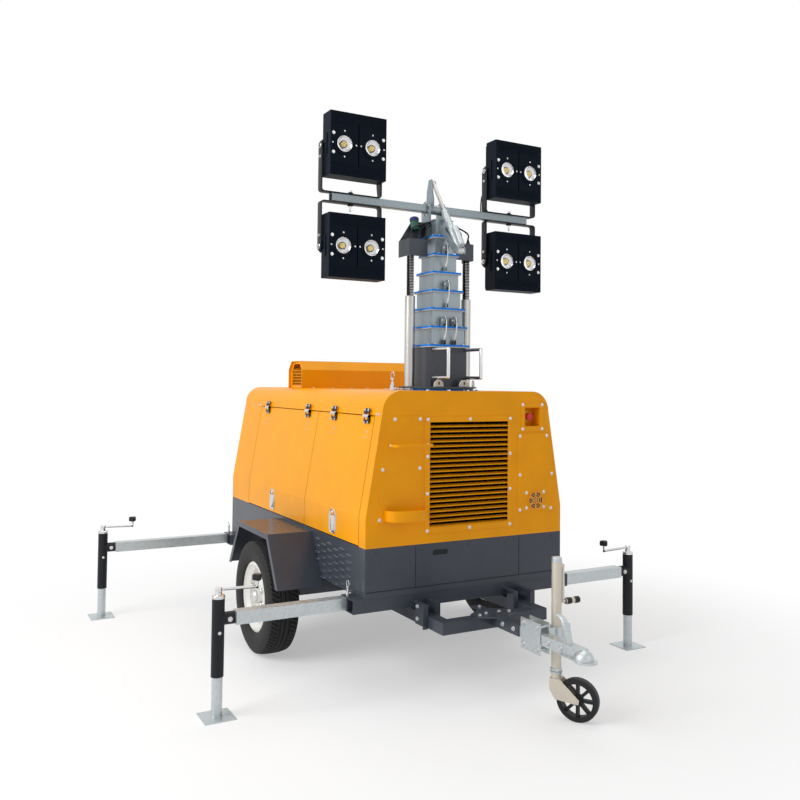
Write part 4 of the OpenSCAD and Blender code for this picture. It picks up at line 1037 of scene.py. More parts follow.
@dataclass
class RoofGear:
    """Bolts of the ring, slotted lugs, lock pin and chain round the foot of the mast."""

    mast_x: float = -338.0
    roof_z: float = 1534.0

    def ring_bolts(self, shop: Workshop) -> None:
        """Bolts on the blue ring's rim, every 30 degrees."""
        angle = np.radians(np.arange(15, 375, 30))
        spots = [(self.mast_x + 198 * math.cos(a), 198 * math.sin(a), self.roof_z) for a in angle]
        heads = stamp(bolt_head(8, 12), [(x, y, z + 0.2) for x, y, z in spots])
        outer = stamp(
            bolt_head(7, 7), [(self.mast_x + 232 * math.cos(a), 232 * math.sin(a), self.roof_z) for a in angle]
        )
        shop.place("ring_bolts", join([heads, outer]), SCREW, "trailer")

    def lug(self) -> Surface:
        """Half-round plate with a slot, whose upper rim is a half circle over a short straight foot; the slot is a thin
        dark patch, painted shade for the opening.
        """
        angle = np.linspace(0, np.pi, 17)
        rim = np.column_stack([30.4 * np.cos(angle), 8 + 30.4 * np.sin(angle)])
        outline = np.concatenate([[[30, 0]], rim, [[-30, 0]]])
        plate = slab(outline, -4.4, 4.4, 1)
        slot = slab(oblong(10, 18, 4.8, 6), 4.2, 4.9, 0.3).moved(0, 19, 0)
        return join([plate, slot.toned(1)])

    def lugs(self, shop: Workshop) -> None:
        """Three lugs on the turntable in front of the mast, riding with it."""
        top = 1556.3
        lug = self.lug()
        front = [lug.facing(Facing.FRONT, (self.mast_x + 162, y, top)) for y in (-92.0, 74.0)]
        side = lug.facing(Facing.FRONT).turned("Z", 48).moved(self.mast_x + 128, 158, top)
        # second colour: painted shade inside the lug's slot
        finish = Finish("lug_paint", "rim_paint", (226, 222, 212), Grain.PAINT, 0.5, second=(16, 16, 18))
        shop.place("turntable_lugs", join(front + [side]), finish, "mast_base")

    def lock_pin(self, shop: Workshop) -> None:
        """Spring pin that locks the turntable, with its ring and a short chain of links."""
        z = self.roof_z
        at = (self.mast_x - 60, -262.0)
        barrel = lathe([(14, 0), (14, 26), (11, 30), (9, 30), (9, 44), (5, 46), (5, 58), (12, 60), (12, 66), (2, 68)], 18)
        foot = slab(oblong(64, 40, 8), 0, 5, 1)
        angle = np.linspace(0, 2 * np.pi, 28, endpoint=False)
        ring = np.stack([20 * np.cos(angle), 0 * angle, 82 + 20 * np.sin(angle)], -1)
        hoop = sweep(ring, disc(2.6, 8), closed=True, up=(0, 1, 0))
        parts = [p.moved(at[0], at[1], z) for p in (barrel, foot, hoop)]
        link = np.stack([11 * np.cos(angle), 5 * np.sin(angle), 0 * angle], -1)
        flat = sweep(link, disc(1.7, 6), closed=True)
        run = curve_through([(0, 0, 8), (34, -16, 3), (70, -8, 3), (104, 14, 3), (128, 30, 4)], 3)
        turns = [flat.turned("X", 62 * (k % 2)).moved(*p) for k, p in enumerate(run)]
        chain = join(turns).moved(at[0] + 10, at[1] + 6, z + 4)
        bolts = stamp(hex_bolt(6, 6), [(at[0] + s * 24, at[1], z + 5) for s in (-1, 1)])
        shop.place("lock_pin", join(parts + [chain, bolts]), CHROME, "trailer")

    def build(self, shop: Workshop) -> None:
        """Makes the gear round the foot of the mast."""
        self.ring_bolts(shop)
        self.lugs(shop)
        self.lock_pin(shop)


@dataclass
class LowerBody:
    """Pressed louvres, fold lines and bolts of the dark tub."""

    pitch_x: float = 82.0
    pitch_z: float = 36.0
    start: tuple[float, float] = (-600.0, 690.0)

    def hood(self) -> Surface:
        """One pressed hood: height 9 (1 - u^2)^0.5 (1 - v)^0.5 over its mouth, u across and v down it."""
        u, v = np.meshgrid(np.linspace(-1, 1, 15), np.linspace(0, 1, 6), indexing="ij")
        height = 9 * np.sqrt(np.clip(1 - u**4, 0, 1)) * np.sqrt(np.clip(1 - v**2, 0, 1))
        sheet = grid(np.stack([u * 30, 13 * v * np.sqrt(1 - 0.55 * u**2), height], -1))
        u2, v2 = np.meshgrid(np.linspace(-1, 1, 15), np.linspace(0, 1, 3), indexing="ij")
        mouth = grid(np.stack([u2 * 30, -0.8 * v2, (1 - v2) * 9 * np.sqrt(np.clip(1 - u2**4, 0, 1))], -1))
        return join([sheet, mouth])

    def build(self, shop: Workshop) -> None:
        """Makes the dress of the tub's sides and ends."""
        spots = [
            (self.start[0] + c * self.pitch_x, 622.0, self.start[1] - r * self.pitch_z - (c % 2) * self.pitch_z / 2)
            for c in range(6)
            for r in range(6)
        ]
        hoods = stamp(self.hood().facing(Facing.LEFT), spots)
        shop.place("pressed_louvres", both_sides(hoods), SLATE, "trailer", 50)
        fold = np.array([(-690.0, 622.5, 521.0), (-360.0, 622.5, 521.0), (-14.0, 622.5, 521.0)])
        rear = fold - np.array([1450.0, 0, 0])
        strips = join([sweep(fold, slab_section(3, 3)), sweep(rear, slab_section(3, 3))])
        shop.place("tub_folds", both_sides(strips), SLATE, "trailer")
        front = [(0.4, y, 716.0) for y in (-560.0, -300.0, 0.0, 300.0, 560.0)]
        heads = stamp(bolt_head(5, 4).facing(Facing.FRONT), front)
        # dark seams are joints; the dark fold line and slot are painted shade in the crease and the opening
        seam, fold = slab(oblong(3, 206, 1), 0, 1.4, 0.4), slab(oblong(1236, 4, 1.5), 0, 1.3, 0.4)
        seams = [seam.facing(Facing.FRONT, (0, y, 627)) for y in (-330.0, 330.0)]
        seams.append(fold.facing(Facing.FRONT, (0, 0, 521)))
        slot = slab(oblong(90, 26, 6), 0, 1.2, 0.4).facing(Facing.FRONT, (0, -180, 690))
        shop.place("tub_front_bolts", heads, SLATE, "trailer")
        shop.place("tub_front_seams_and_shade", join(seams + [slot]), JET, "trailer")


@dataclass
class RoadWheel:
    """Tyre with its tread, and the cap, nuts and valve of the rim."""

    axle_x: float = -930.0
    track: float = 800.0
    radius: float = 325.0
    half: float = 92.5
    rim_r: float = 200.0

    def tyre(self) -> Surface:
        """Tyre as a grid of angle and place round its section.

        The section's radius is cut by 8 mm in three grooves round the tyre and by 6 mm in cross cuts that
        repeat 76 times, slanted and half a step apart on the two sides; two fine rings stand on each wall.
        """
        section = np.array(
            [(200, -70), (203, -80), (214, -86), (235, -90.5), (262, -92), (285, -91), (300, -86.5), (311, -80)]
        )
        across = np.linspace(-76, 76, 33)
        crown = np.column_stack([self.radius - 0.5 - 9.5 * np.abs(across / 80) ** 2.6, across])
        mirror = section[::-1] * np.array([1, -1])
        inner = np.array([(199, 66), (199, 0), (199, -66)])
        profile = np.concatenate([section, crown, mirror, inner])
        steps = 456
        angle = np.linspace(0, 2 * np.pi, steps, endpoint=False)
        r = np.repeat(profile[:, :1], steps, 1)
        w = np.repeat(profile[:, 1:], steps, 1)
        tread = (np.arange(len(profile)) >= 8) & (np.arange(len(profile)) < 41)
        groove = (np.abs(np.abs(w) - 26) < 4.2) | (np.abs(w) < 2.6)
        wave = (angle[None] * 76 / (2 * np.pi) + w / 42 + 0.5 * (w > 0)) % 1
        cut = (wave < 0.3) & (np.abs(w) > 34)
        fine = (wave > 0.42) & (wave < 0.58) & (np.abs(w) < 22) & (np.abs(w) > 5)
        r = r - tread[:, None] * np.where(groove, 8.0, np.where(cut, 6.0, np.where(fine, 2.5, 0.0)))
        r = r + 1.2 * np.exp(-(((np.abs(w) - 91.4) / 0.6) ** 2)) * np.sin(r / 2.2)
        points = np.stack([r * np.cos(angle), r * np.sin(angle), w], -1)
        return grid(points, wrap_rows=True, wrap_columns=True)

    def hub(self) -> Surface:
        """Bright cap, four wheel nuts with their washers, and the valve."""
        cap = lathe([(38, 58), (38, 62), (36, 76), (30, 84), (18, 89), (4, 90)], 28)
        angle = np.radians(np.arange(45, 405, 90))
        nuts = stamp(hex_bolt(11, 15), [(56 * math.cos(a), 56 * math.sin(a), 36.8) for a in angle])
        valve = lathe([(4.5, 0), (4.5, 24), (3, 26), (3, 32), (1, 33)], 10).turned("Y", 50).moved(148, 34, 34)
        return join([cap, nuts, valve])

    def build(self, shop: Workshop) -> None:
        """Makes both wheels."""
        tyre = self.tyre().facing(Facing.LEFT, (self.axle_x, self.track, self.radius))
        hub = self.hub().facing(Facing.LEFT, (self.axle_x, self.track, self.radius))
        for side, turn in (("left", lambda p: p), ("right", lambda p: p.mirrored())):
            piece = shop.place(f"tyre_tread_{side}", turn(tyre), TYRE, f"wheel_{side}", 24)
            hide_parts(f"tyre_{side}")
            shop.place(f"hub_{side}", turn(hub), CHROME, f"wheel_{side}")


@dataclass
class Mast:
    """Ropes, sheave wheels and bolts of the telescopic mast."""

    x: float = -338.0
    base_z: float = 1792.0
    pitch: float = 104.0
    width: float = 236.0
    step: float = 18.0
    sheaves: dict[int, tuple[float, ...]] = field(default_factory=lambda: {1: (-38.0, 30.0), 3: (-10.0,), 5: (-10.0,)})

    def wheel(self) -> Surface:
        """Black sheave wheel with a groove round its rim."""
        return lathe([(6, -6.5), (19, -6.5), (23.5, -6), (19.5, 0), (23.5, 6), (19, 6.5), (6, 6.5)], 28)

    def level(self, k: int) -> tuple[float, float, float]:
        """Plate height, sheave centre height and sheave x of section k, 0 being the base."""
        z = self.base_z + k * self.pitch
        return z, z + 32.0, self.x + self.width / 2 - k * self.step / 2 - 9 + 27

    def rope(self, k: int, y: float) -> Surface:
        """Rope that lies over the sheave of section k and falls to the eye on the plate below."""
        z, zc, xc = self.level(k)
        r = 22.5
        angle = np.linspace(np.pi * 0.9, 0.05, 10)
        arc = np.column_stack([xc + r * np.cos(angle), np.full(10, y), zc + r * np.sin(angle)])
        fall = np.array([(xc + r + 2, y, zc - 24), (xc + r - 1, y, zc - 62), (xc + r - 14, y + 1, zc - 92)])
        eye = np.array([(xc - 1, y + 2, z - 76), (xc - 5, y + 1, z - 84), (xc - 2, y, z - 90)])
        path = curve_through([tuple(p) for p in np.concatenate([arc, fall, eye])], 4)
        cord = sweep(path, disc(2.8, 8), up=(0, 1, 0))
        sleeve = sweep(path[46:52], disc(5.2, 10), up=(0, 1, 0))
        return join([cord, sleeve])

    def plate(self, k: int) -> Surface:
        """Thin painted skin over plate k, with the bare plate below it at a tone of 1.

        Its section is a closed loop of (distance beyond the tube, height below the plate's top), carried
        round the square with the distance added to each corner.
        """
        loop = np.array([(-3.4, -2), (-3.4, 0.5), (11.6, 0.5), (12.6, -0.5), (12.6, -10.2), (12.2, -10.4), (12.2, -15), (0.1, -15.4)])
        corner = np.array([(1, 1), (-1, 1), (-1, -1), (1, -1)])
        w = self.width - k * self.step
        reach = w / 2 + loop[:, :1, None] * np.ones((1, 4, 1))
        xy = reach * corner[None]
        z = np.repeat(loop[:, 1:, None], 4, 1) + self.base_z + k * self.pitch
        tone = np.repeat((loop[:, 1] < -10.3).astype(float)[:, None], 4, 1)
        skin = grid(np.concatenate([xy, z], -1), wrap_rows=True, wrap_columns=True, tone=tone)
        return skin.moved(self.x, 0, 0)

    def handles(self) -> Surface:
        """Two U-shaped pull handles that reach forwards from the base, round their plain rods."""
        front, high, low = self.x + self.width / 2 + 165, self.base_z - 28, self.base_z - 185
        bars = []
        for y in (-106.0, 106.0):
            path = rounded_path([(self.x + 112, y, high), (front, y, high), (front, y, low), (self.x + 112, y, low)], 2.5, 4)
            bars.append(sweep(path, disc(9.5, 16), up=(0, 1, 0)))
        return join(bars)

    def build(self, shop: Workshop) -> None:
        """Makes plates, wheels, ropes and bolts for each section."""
        shop.place("pull_handles", self.handles(), CHROME, "mast_base")
        for k in range(7):
            body = "mast_base" if k == 0 else f"mast_{k}"
            z, zc, xc = self.level(k)
            w = self.width - k * self.step
            shop.place(f"blue_plate_{k}", self.plate(k), BLUE, body)
            spots = [(self.x + a * (w / 2 + 4), b * (w / 2 - 24), z) for a in (-1, 1) for b in (-1, 1)]
            spots += [(self.x + a * (w / 2 - 24), b * (w / 2 + 4), z) for a in (-1, 1) for b in (-1, 1)]
            shop.place(f"plate_bolts_{k}", stamp(hex_bolt(4.5, 5), spots), SCREW, body)
            rows = self.sheaves.get(k, ())
            if not rows:
                continue
            wheels = [self.wheel().facing(Facing.LEFT, (xc, y, zc)) for y in rows]
            pins = [hex_bolt(6, 6).facing(Facing.RIGHT, (xc, y - 13, zc)) for y in rows]
            shop.place(f"sheave_wheels_{k}", join(wheels), JET, body)
            shop.place(f"sheave_pins_{k}", join(pins), SCREW, body)
            shop.place(f"wire_ropes_{k}", join([self.rope(k, y) for y in rows]), ROPE, body, 50)


@dataclass
class CurlyCables:
    """The two coiled cables, each a round wire wound on a helix that rises out of its tube."""

    x: float = -338.0
    y: float = 188.0
    low: float = 1563.5
    high: float = 2383.5
    coil_r: float = 17.5
    wire_r: float = 3.9
    pitch: float = 9.0

    def coil(self, side: float) -> Surface:
        """Wire at radius R about the axis, climbing one pitch a turn: (R cos t, R sin t, pitch t / 2 pi)."""
        turns = (self.high - self.low) / self.pitch
        t = np.linspace(0, 2 * np.pi * turns, int(turns * 14))
        path = np.stack([self.coil_r * np.cos(t), self.coil_r * np.sin(t), self.low + self.pitch * t / (2 * np.pi)], -1)
        return sweep(path, disc(self.wire_r, 6)).moved(self.x, side * self.y, 0)

    def build(self, shop: Workshop) -> None:
        """Makes both coils and hides the solid cables."""
        piece = shop.place("curly_coils", join([self.coil(-1), self.coil(1)]), CABLE, None, 60)
        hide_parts("curly_cables")
        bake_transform(piece)


@dataclass
class FloodLamp:
    """One floodlight: optics, vent slots, screws, rim and side brackets, round its pivot."""

    bar: tuple[float, float] = (-400.0, 2588.0)
    lamp_y: float = 540.0
    rise: float = 276.0
    front: float = 100.0
    width: float = 340.0
    height: float = 348.0

    def optic(self) -> tuple[Surface, Surface, Surface, Surface]:
        """Bowl, chip, glass and bezel of one optic, turned about local z with the lamp's face at z = 0."""
        bowl = lathe([(46, 1), (44, 0.5), (38, -4), (31, -8), (24, -11), (18, -12.5), (17, -14), (46, -14)], 40, True)
        chip = lathe([(13.5, -13), (13.5, -10.5), (12, -9.5), (1, -9.2)], 24)
        angle = np.linspace(0.06, np.pi / 2, 9)
        dome = [(45 * math.sin(a), 16 * math.cos(a)) for a in angle]
        glass = lathe(dome + [(43, -1.0)], 40)
        bezel = lathe([(45, -3), (45, 4), (47, 5.5), (60, 5.5), (64, 3.0), (64, -1)], 48, True)
        tick = slab(oblong(3, 7, 1, 3), 5, 6.6, 0.4)
        ticks = [tick.moved(0, 54, 0).turned("Z", a) for a in range(0, 360, 15)]
        return bowl, chip, glass, join([bezel] + ticks)

    def slots(self) -> Surface:
        """Two rows of upright vent bars near the top and the bottom of the face."""
        bar = slab(oblong(5, 30, 2, 3), 0, 2.4, 0.6)
        rows = [(x, z, 0.0) for z in (-132.0, 132.0) for x in np.linspace(-140, 140, 21)]
        frame_bar = slab(oblong(self.width - 16, 3, 1, 2), 0, 2, 0.5)
        rims = [(0.0, z, 0.0) for z in (-154.0, -110.0, 110.0, 154.0)]
        return join([stamp(bar, rows), stamp(frame_bar, rims)])

    def screws(self) -> Surface:
        """Four bright screws beside the optics and four small ones round each."""
        big = stamp(hex_bolt(7, 7), [(a * 151.0, b * 52.0, 0.0) for a in (-1, 1) for b in (-1, 1)])
        turns = [(s * 85 + 70 * math.cos(a), 70 * math.sin(a), 0.0) for s in (-1, 1) for a in np.arange(4) * np.pi / 2]
        return join([big, stamp(bolt_head(3.4, 3.5), turns)])

    def sides(self) -> Surface:
        """Rim round the face and a pivot bracket on each side, in local x across, y up and z forwards."""
        rim = sweep(
            np.column_stack([oblong(self.width - 6, self.height - 6, 6, 4), np.full(16, 0.6)]), disc(2.6, 6), closed=True
        )
        wedge = np.array([(-34.0, -16.0), (-10.0, -34.0), (26.0, -34.0), (58.0, -60.0), (58.0, 60.0), (26.0, 34.0), (-10.0, 34.0), (-34.0, 16.0)])
        bracket = slab(wedge, 0, 4.5, 1)
        turn = np.array([(0, 0, 1), (0, 1, 0), (1, 0, 0)], float)
        points = bracket.points @ turn + np.array([self.width / 2, 0, -self.front])
        right = Surface(points, bracket.quads, bracket.tris, bracket.rings).outward()
        left = Surface(points * np.array([-1, 1, 1]), bracket.quads, bracket.tris, bracket.rings).outward()
        return join([rim, right, left])

    def build(self, shop: Workshop) -> None:
        """Makes the dress of all four lamps."""
        bowl, chip, glass, bezel = self.optic()
        pair = [(-85.0, 0.0, 0.0), (85.0, 0.0, 0.0)]
        dress = {
            "reflectors": (stamp(bowl, pair), BOWL),
            "chips": (stamp(chip, pair), CHIP),
            "lenses": (stamp(glass, pair), LENS),
            "bezels": (join([stamp(bezel, pair), self.slots(), self.sides()]), LAMP),
            "screws": (self.screws(), CHROME),
        }
        for side, sy in (("right", -1), ("left", 1)):
            for level, sz in (("upper", 1), ("lower", -1)):
                at = (self.bar[0] + self.front, sy * self.lamp_y, self.bar[1] + sz * self.rise)
                for name, (part, finish) in dress.items():
                    piece = f"{name}_{level}_{side}"
                    shop.place(piece, part.facing(Facing.FRONT, at), finish, f"lamp_{level}_{side}")


@dataclass
class LampBar:
    """The bar, its yokes, bolts of the yokes and at the pivots, and the lamps' cables."""

    x: float = -400.0
    z: float = 2588.0
    lamp_y: float = 540.0
    rise: float = 276.0
    tip: float = 185.0

    def tube(self, shop: Workshop) -> None:
        """Square bar with rounded edges and open ends, its journal and a lever plate, in place of their solid.

        Each loop of the bar is a rounded square at one place along y: out to the end, then back inside.
        """
        loops = [(46.0, 60.0), (46.0, 659.0), (44.8, 660.0), (38.5, 660.0), (38.5, 590.0)]
        rows = [np.column_stack([oblong(w, w, 5.5, 4), np.full(16, y)]) for w, y in loops]
        half = grid(np.stack(rows), wrap_columns=True, caps=True).facing(Facing.LEFT, (self.x, 0, self.z))
        journal = lathe([(28, -61), (28, 61)], 40).facing(Facing.LEFT, (self.x, 0, self.z))
        side = np.array([(-26, 5), (-48, 60), (-45, 112), (-24, 179), (4, 179), (16, 96), (26, 60), (26, 5)], float)
        lever = slab(side[::-1] * np.array([1, 1]), -22, -12, 1)
        lever = Surface(
            np.column_stack([lever.points[:, 0] + self.x, lever.points[:, 2], lever.points[:, 1] + self.z]),
            lever.quads, lever.tris, lever.rings,
        ).outward()
        piece = shop.place("lamp_bar_tube", join([both_sides(half), journal, lever]), DULL_ZINC, "lamp_bar")
        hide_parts("lamp_bar")

    def yokes(self, shop: Workshop) -> None:
        """Four flat bars bent into a U round each lamp, with round tips.

        Each runs down one side, across the bar and up the other, its two bends rounded.
        """
        flat = oblong(6, 50, 1.4, 3)
        run = rounded_path([(0, -182, self.rise), (0, -182, 26), (0, 182, 26), (0, 182, self.rise)], 18, 7)
        bent = sweep(run, flat, up=(1, 0, 0))
        tip = slab(disc(25, 32), -3, 3, 1)
        tips = [tip.facing(Facing.LEFT, (0, y, self.rise)) for y in (-182.0, 182.0)]
        pad = lathe([(16, 29), (16, 36), (12, 38), (2, 38)], 20)
        upper = join([bent, *tips, pad])
        lower = Surface(
            upper.points * np.array([1, 1, -1]), upper.quads[:, ::-1], upper.tris[:, ::-1], [r[::-1] for r in upper.rings]
        )
        pair = join([upper, lower])
        places = [(self.x, sy * self.lamp_y, self.z) for sy in (-1, 1)]
        shop.place("lamp_yokes", stamp(pair, places), JET, "lamp_bar")

    def pivots(self, shop: Workshop) -> None:
        """A bright bolt and washer at each tip of each yoke."""
        parts = []
        for sy in (-1, 1):
            for sz in (-1, 1):
                for end, way in ((-1, Facing.RIGHT), (1, Facing.LEFT)):
                    y = sy * self.lamp_y + end * self.tip
                    parts.append(hex_bolt(11, 12).facing(way, (self.x, y, self.z + sz * self.rise)))
                    parts.append(hex_bolt(6, 7).facing(way, (self.x, y, self.z + sz * (self.rise - 60))))
        shop.place("yoke_pivot_bolts", join(parts), CHROME, "lamp_bar")

    def clamps(self, shop: Workshop) -> None:
        """A through bolt with its nut where each yoke sits on the bar."""
        parts = []
        for sy in (-1, 1):
            parts.append(hex_bolt(9, 10).facing(Facing.DOWN, (self.x, sy * self.lamp_y, self.z - 29)))
            stud = lathe([(6, 0), (6, 30), (5, 32), (1, 32.5)], 12)
            parts.append(stud.facing(Facing.DOWN, (self.x, sy * self.lamp_y, self.z - 38)))
            parts.append(hex_bolt(9, 10).moved(self.x, sy * self.lamp_y, self.z + 40))
        shop.place("yoke_clamp_bolts", join(parts), CHROME, "lamp_bar")

    def build(self, shop: Workshop) -> None:
        """Makes the bar, the yokes, their bolts and the cables that run along the bar."""
        self.tube(shop)
        self.yokes(shop)
        self.pivots(shop)
        self.clamps(shop)
        runs = []
        for sy in (-1, 1):
            along = [(self.x - 27, sy * y, self.z - 6 - 5 * math.sin(y / 30)) for y in np.linspace(70, 360, 12)]
            runs.append(sweep(curve_through(along, 4), disc(4.5, 8)))
            fall = [(self.x - 27, sy * 350, self.z - 4), (self.x - 30, sy * 352, self.z + 34),
                    (self.x - 34, sy * 356, self.z + 90), (self.x - 30, sy * 360, self.z + 130)]
            runs.append(sweep(curve_through(fall, 6), disc(4.0, 8), up=(0, 1, 0)))
        shop.place("bar_cables", join(runs), CABLE, "lamp_bar", 60)


@dataclass
class Head:
    """Bearing bolts, cable glands and connectors at the top of the mast."""

    x: float = -338.0
    bar_x: float = -400.0
    bar_z: float = 2588.0
    shelf_z: float = 2390.0

    def bracket(self, shop: Workshop) -> None:
        """Painted skin over the cable bracket, its two trays and the connector on its corner.

        The skin follows the bracket's outline, 0.7 mm outside it.
        """
        low, high = self.shelf_z - 5, self.bar_z - 76
        outline = np.array([(-216.9, low - 0.2), (216.9, low - 0.2), (135.6, high + 0.7), (-135.6, high + 0.7)])
        back = slab(outline, -87.7, -81.8, 0.3).facing(Facing.FRONT, (self.x, 0, 0))
        shelf = slab(oblong(122.3, 134.2, 1, 2), low - 0.1, low + 5.6, 0.3).moved(self.x - 26.5, 149.7, 0)
        lip = slab(oblong(2.2, 121, 0.6, 2), low - 92, low + 5, 0.3).moved(self.x + 33.6, 156, 0)
        end = slab(oblong(125, 2.2, 0.6, 2), low - 92, low + 5, 0.3).moved(self.x - 27, 215.6, 0)
        tray = join([shelf, lip, end])
        shop.place("cable_bracket", join([back, both_sides(tray)]), SLATE, "mast_top")
        socket = lathe([(24, -30), (24, 22), (20, 26), (2, 26)], 24).toned(0)
        cap = lathe([(27, 24), (27, 40), (22, 46), (2, 46)], 24).toned(1)
        plug = join([socket, cap]).turned("Y", -12).moved(self.x - 60, -128, high - 26)
        shop.place("cable_connector", plug, GREEN, "mast_top")

    def build(self, shop: Workshop) -> None:
        """Makes the dress of the mast's head."""
        ring = np.radians(np.arange(22.5, 382.5, 45))
        bolts = []
        for way, y in ((Facing.RIGHT, -56.0), (Facing.LEFT, 56.0)):
            bolts += [
                hex_bolt(4.5, 5).facing(way, (self.bar_x + 38 * math.cos(a), y, self.bar_z + 38 * math.sin(a)))
                for a in ring
            ]
        shop.place("bearing_bolts", join(bolts), CHROME, "mast_top")
        gland = join([hex_bolt(13, 10), lathe([(9, 8), (9, 18), (7, 22), (6, 30), (2, 31)], 16)])
        glands = [gland.moved(self.x + 16, sy * y, self.shelf_z) for sy in (-1, 1) for y in (100.0, 140.0, 190.0)]
        shop.place("cable_glands", join(glands), KNOB, "mast_top")
        self.bracket(shop)
        runs = []
        for sy in (-1, 1):
            for k, y in enumerate((100.0, 140.0, 190.0)):
                path = [(self.x + 16, sy * y, self.shelf_z + 26), (self.x + 18, sy * (y - 4), self.shelf_z + 62),
                        (self.x + 4 + 6 * k, sy * (y * 0.62), self.shelf_z + 92), (self.x - 14, sy * (44 + 9 * k), self.shelf_z + 112),
                        (self.x - 40, sy * (34 + 4 * k), self.shelf_z + 121)]
                runs.append(sweep(curve_through(path, 8), disc(4.8, 8), up=(0.3, 1, 0.1)))
        shop.place("head_cables", join(runs), CABLE, "mast_top", 60)


@dataclass
class Jacks:
    """Knobs, collars and lock pins of the four swing-down jacks."""

    beam_z: float = 455.0
    top: float = 566.0
    reach: float = 190.0
    places: dict[str, tuple[float, float]] = field(
        default_factory=lambda: {
            "front_right": (-117.0, -1333.0),
            "front_left": (-42.0, 1181.0),
            "rear_right": (-2108.0, -1523.0),
            "rear_left": (-2033.0, 1523.0),
        }
    )

    def knob(self) -> Surface:
        """Three-lobed knob: its radius is 20 + 5 cos 3a, drawn in at both ends."""
        angle = np.linspace(0, 2 * np.pi, 48, endpoint=False)
        shape = np.array([(0.6, 50), (0.92, 52), (1, 57), (1, 72), (0.92, 79), (0.55, 81.5), (0.05, 82)])
        radius = shape[:, :1] * (21 + 4.5 * np.cos(3 * angle)[None])
        height = np.repeat(shape[:, 1:], 48, 1)
        return grid(np.stack([radius * np.cos(angle), radius * np.sin(angle), height], -1), False, True, True)

    def collar(self) -> Surface:
        """Bright collar and nut on the jack's top, and the boss that holds the crank."""
        cap = lathe([(31.5, -14), (31.5, -2), (28, 2), (16, 4), (15, 16), (17, 18), (17, 34), (14, 37), (2, 38)], 28)
        return cap

    def pin(self, body_side: float) -> Surface:
        """Lock pin through the beam's end of a cross tube, with its pull ring."""
        stem = lathe([(9, 0), (9, 10), (6, 12), (6, 40), (8, 42), (8, 48), (2, 50)], 14)
        angle = np.linspace(0, 2 * np.pi, 24, endpoint=False)
        ring = np.stack([15 * np.cos(angle), 0 * angle, 60 + 15 * np.sin(angle)], -1)
        hoop = sweep(ring, disc(2.2, 6), closed=True, up=(0, 1, 0))
        return join([stem, hoop]).moved(0, body_side * 660, self.beam_z + 35)

    def build(self, shop: Workshop) -> None:
        """Makes the dress of all four jacks."""
        pins = []
        for name, (x, y) in self.places.items():
            side = 1.0 if y > 0 else -1.0
            crank = y - side * self.reach
            shop.place(f"crank_knob_{name}", self.knob().moved(x, crank, self.top), KNOB, f"jack_{name}")
            shop.place(f"jack_collar_{name}", self.collar().moved(x, y, self.top), CHROME, f"jack_{name}")
            rod = sweep(
                rounded_path([(x, y, self.top + 27), (x, crank, self.top + 22), (x, crank, self.top + 60)], 12),
                disc(7, 10), up=(1, 0, 0),
            )
            shop.place(f"crank_rod_{name}", rod, CHROME, f"jack_{name}")
            nuts = [hex_bolt(9, 9).facing(Facing.FRONT, (x + 29, y - side * 50, self.beam_z)),
                    hex_bolt(6, 6).facing(Facing.FRONT, (x + 29, y, self.beam_z - 60))]
            shop.place(f"jack_bolts_{name}", join(nuts), SCREW, f"jack_{name}")
            pins.append(self.pin(side).moved(x, 0, 0))
        shop.place("tube_lock_pins", join(pins), SCREW, "trailer")


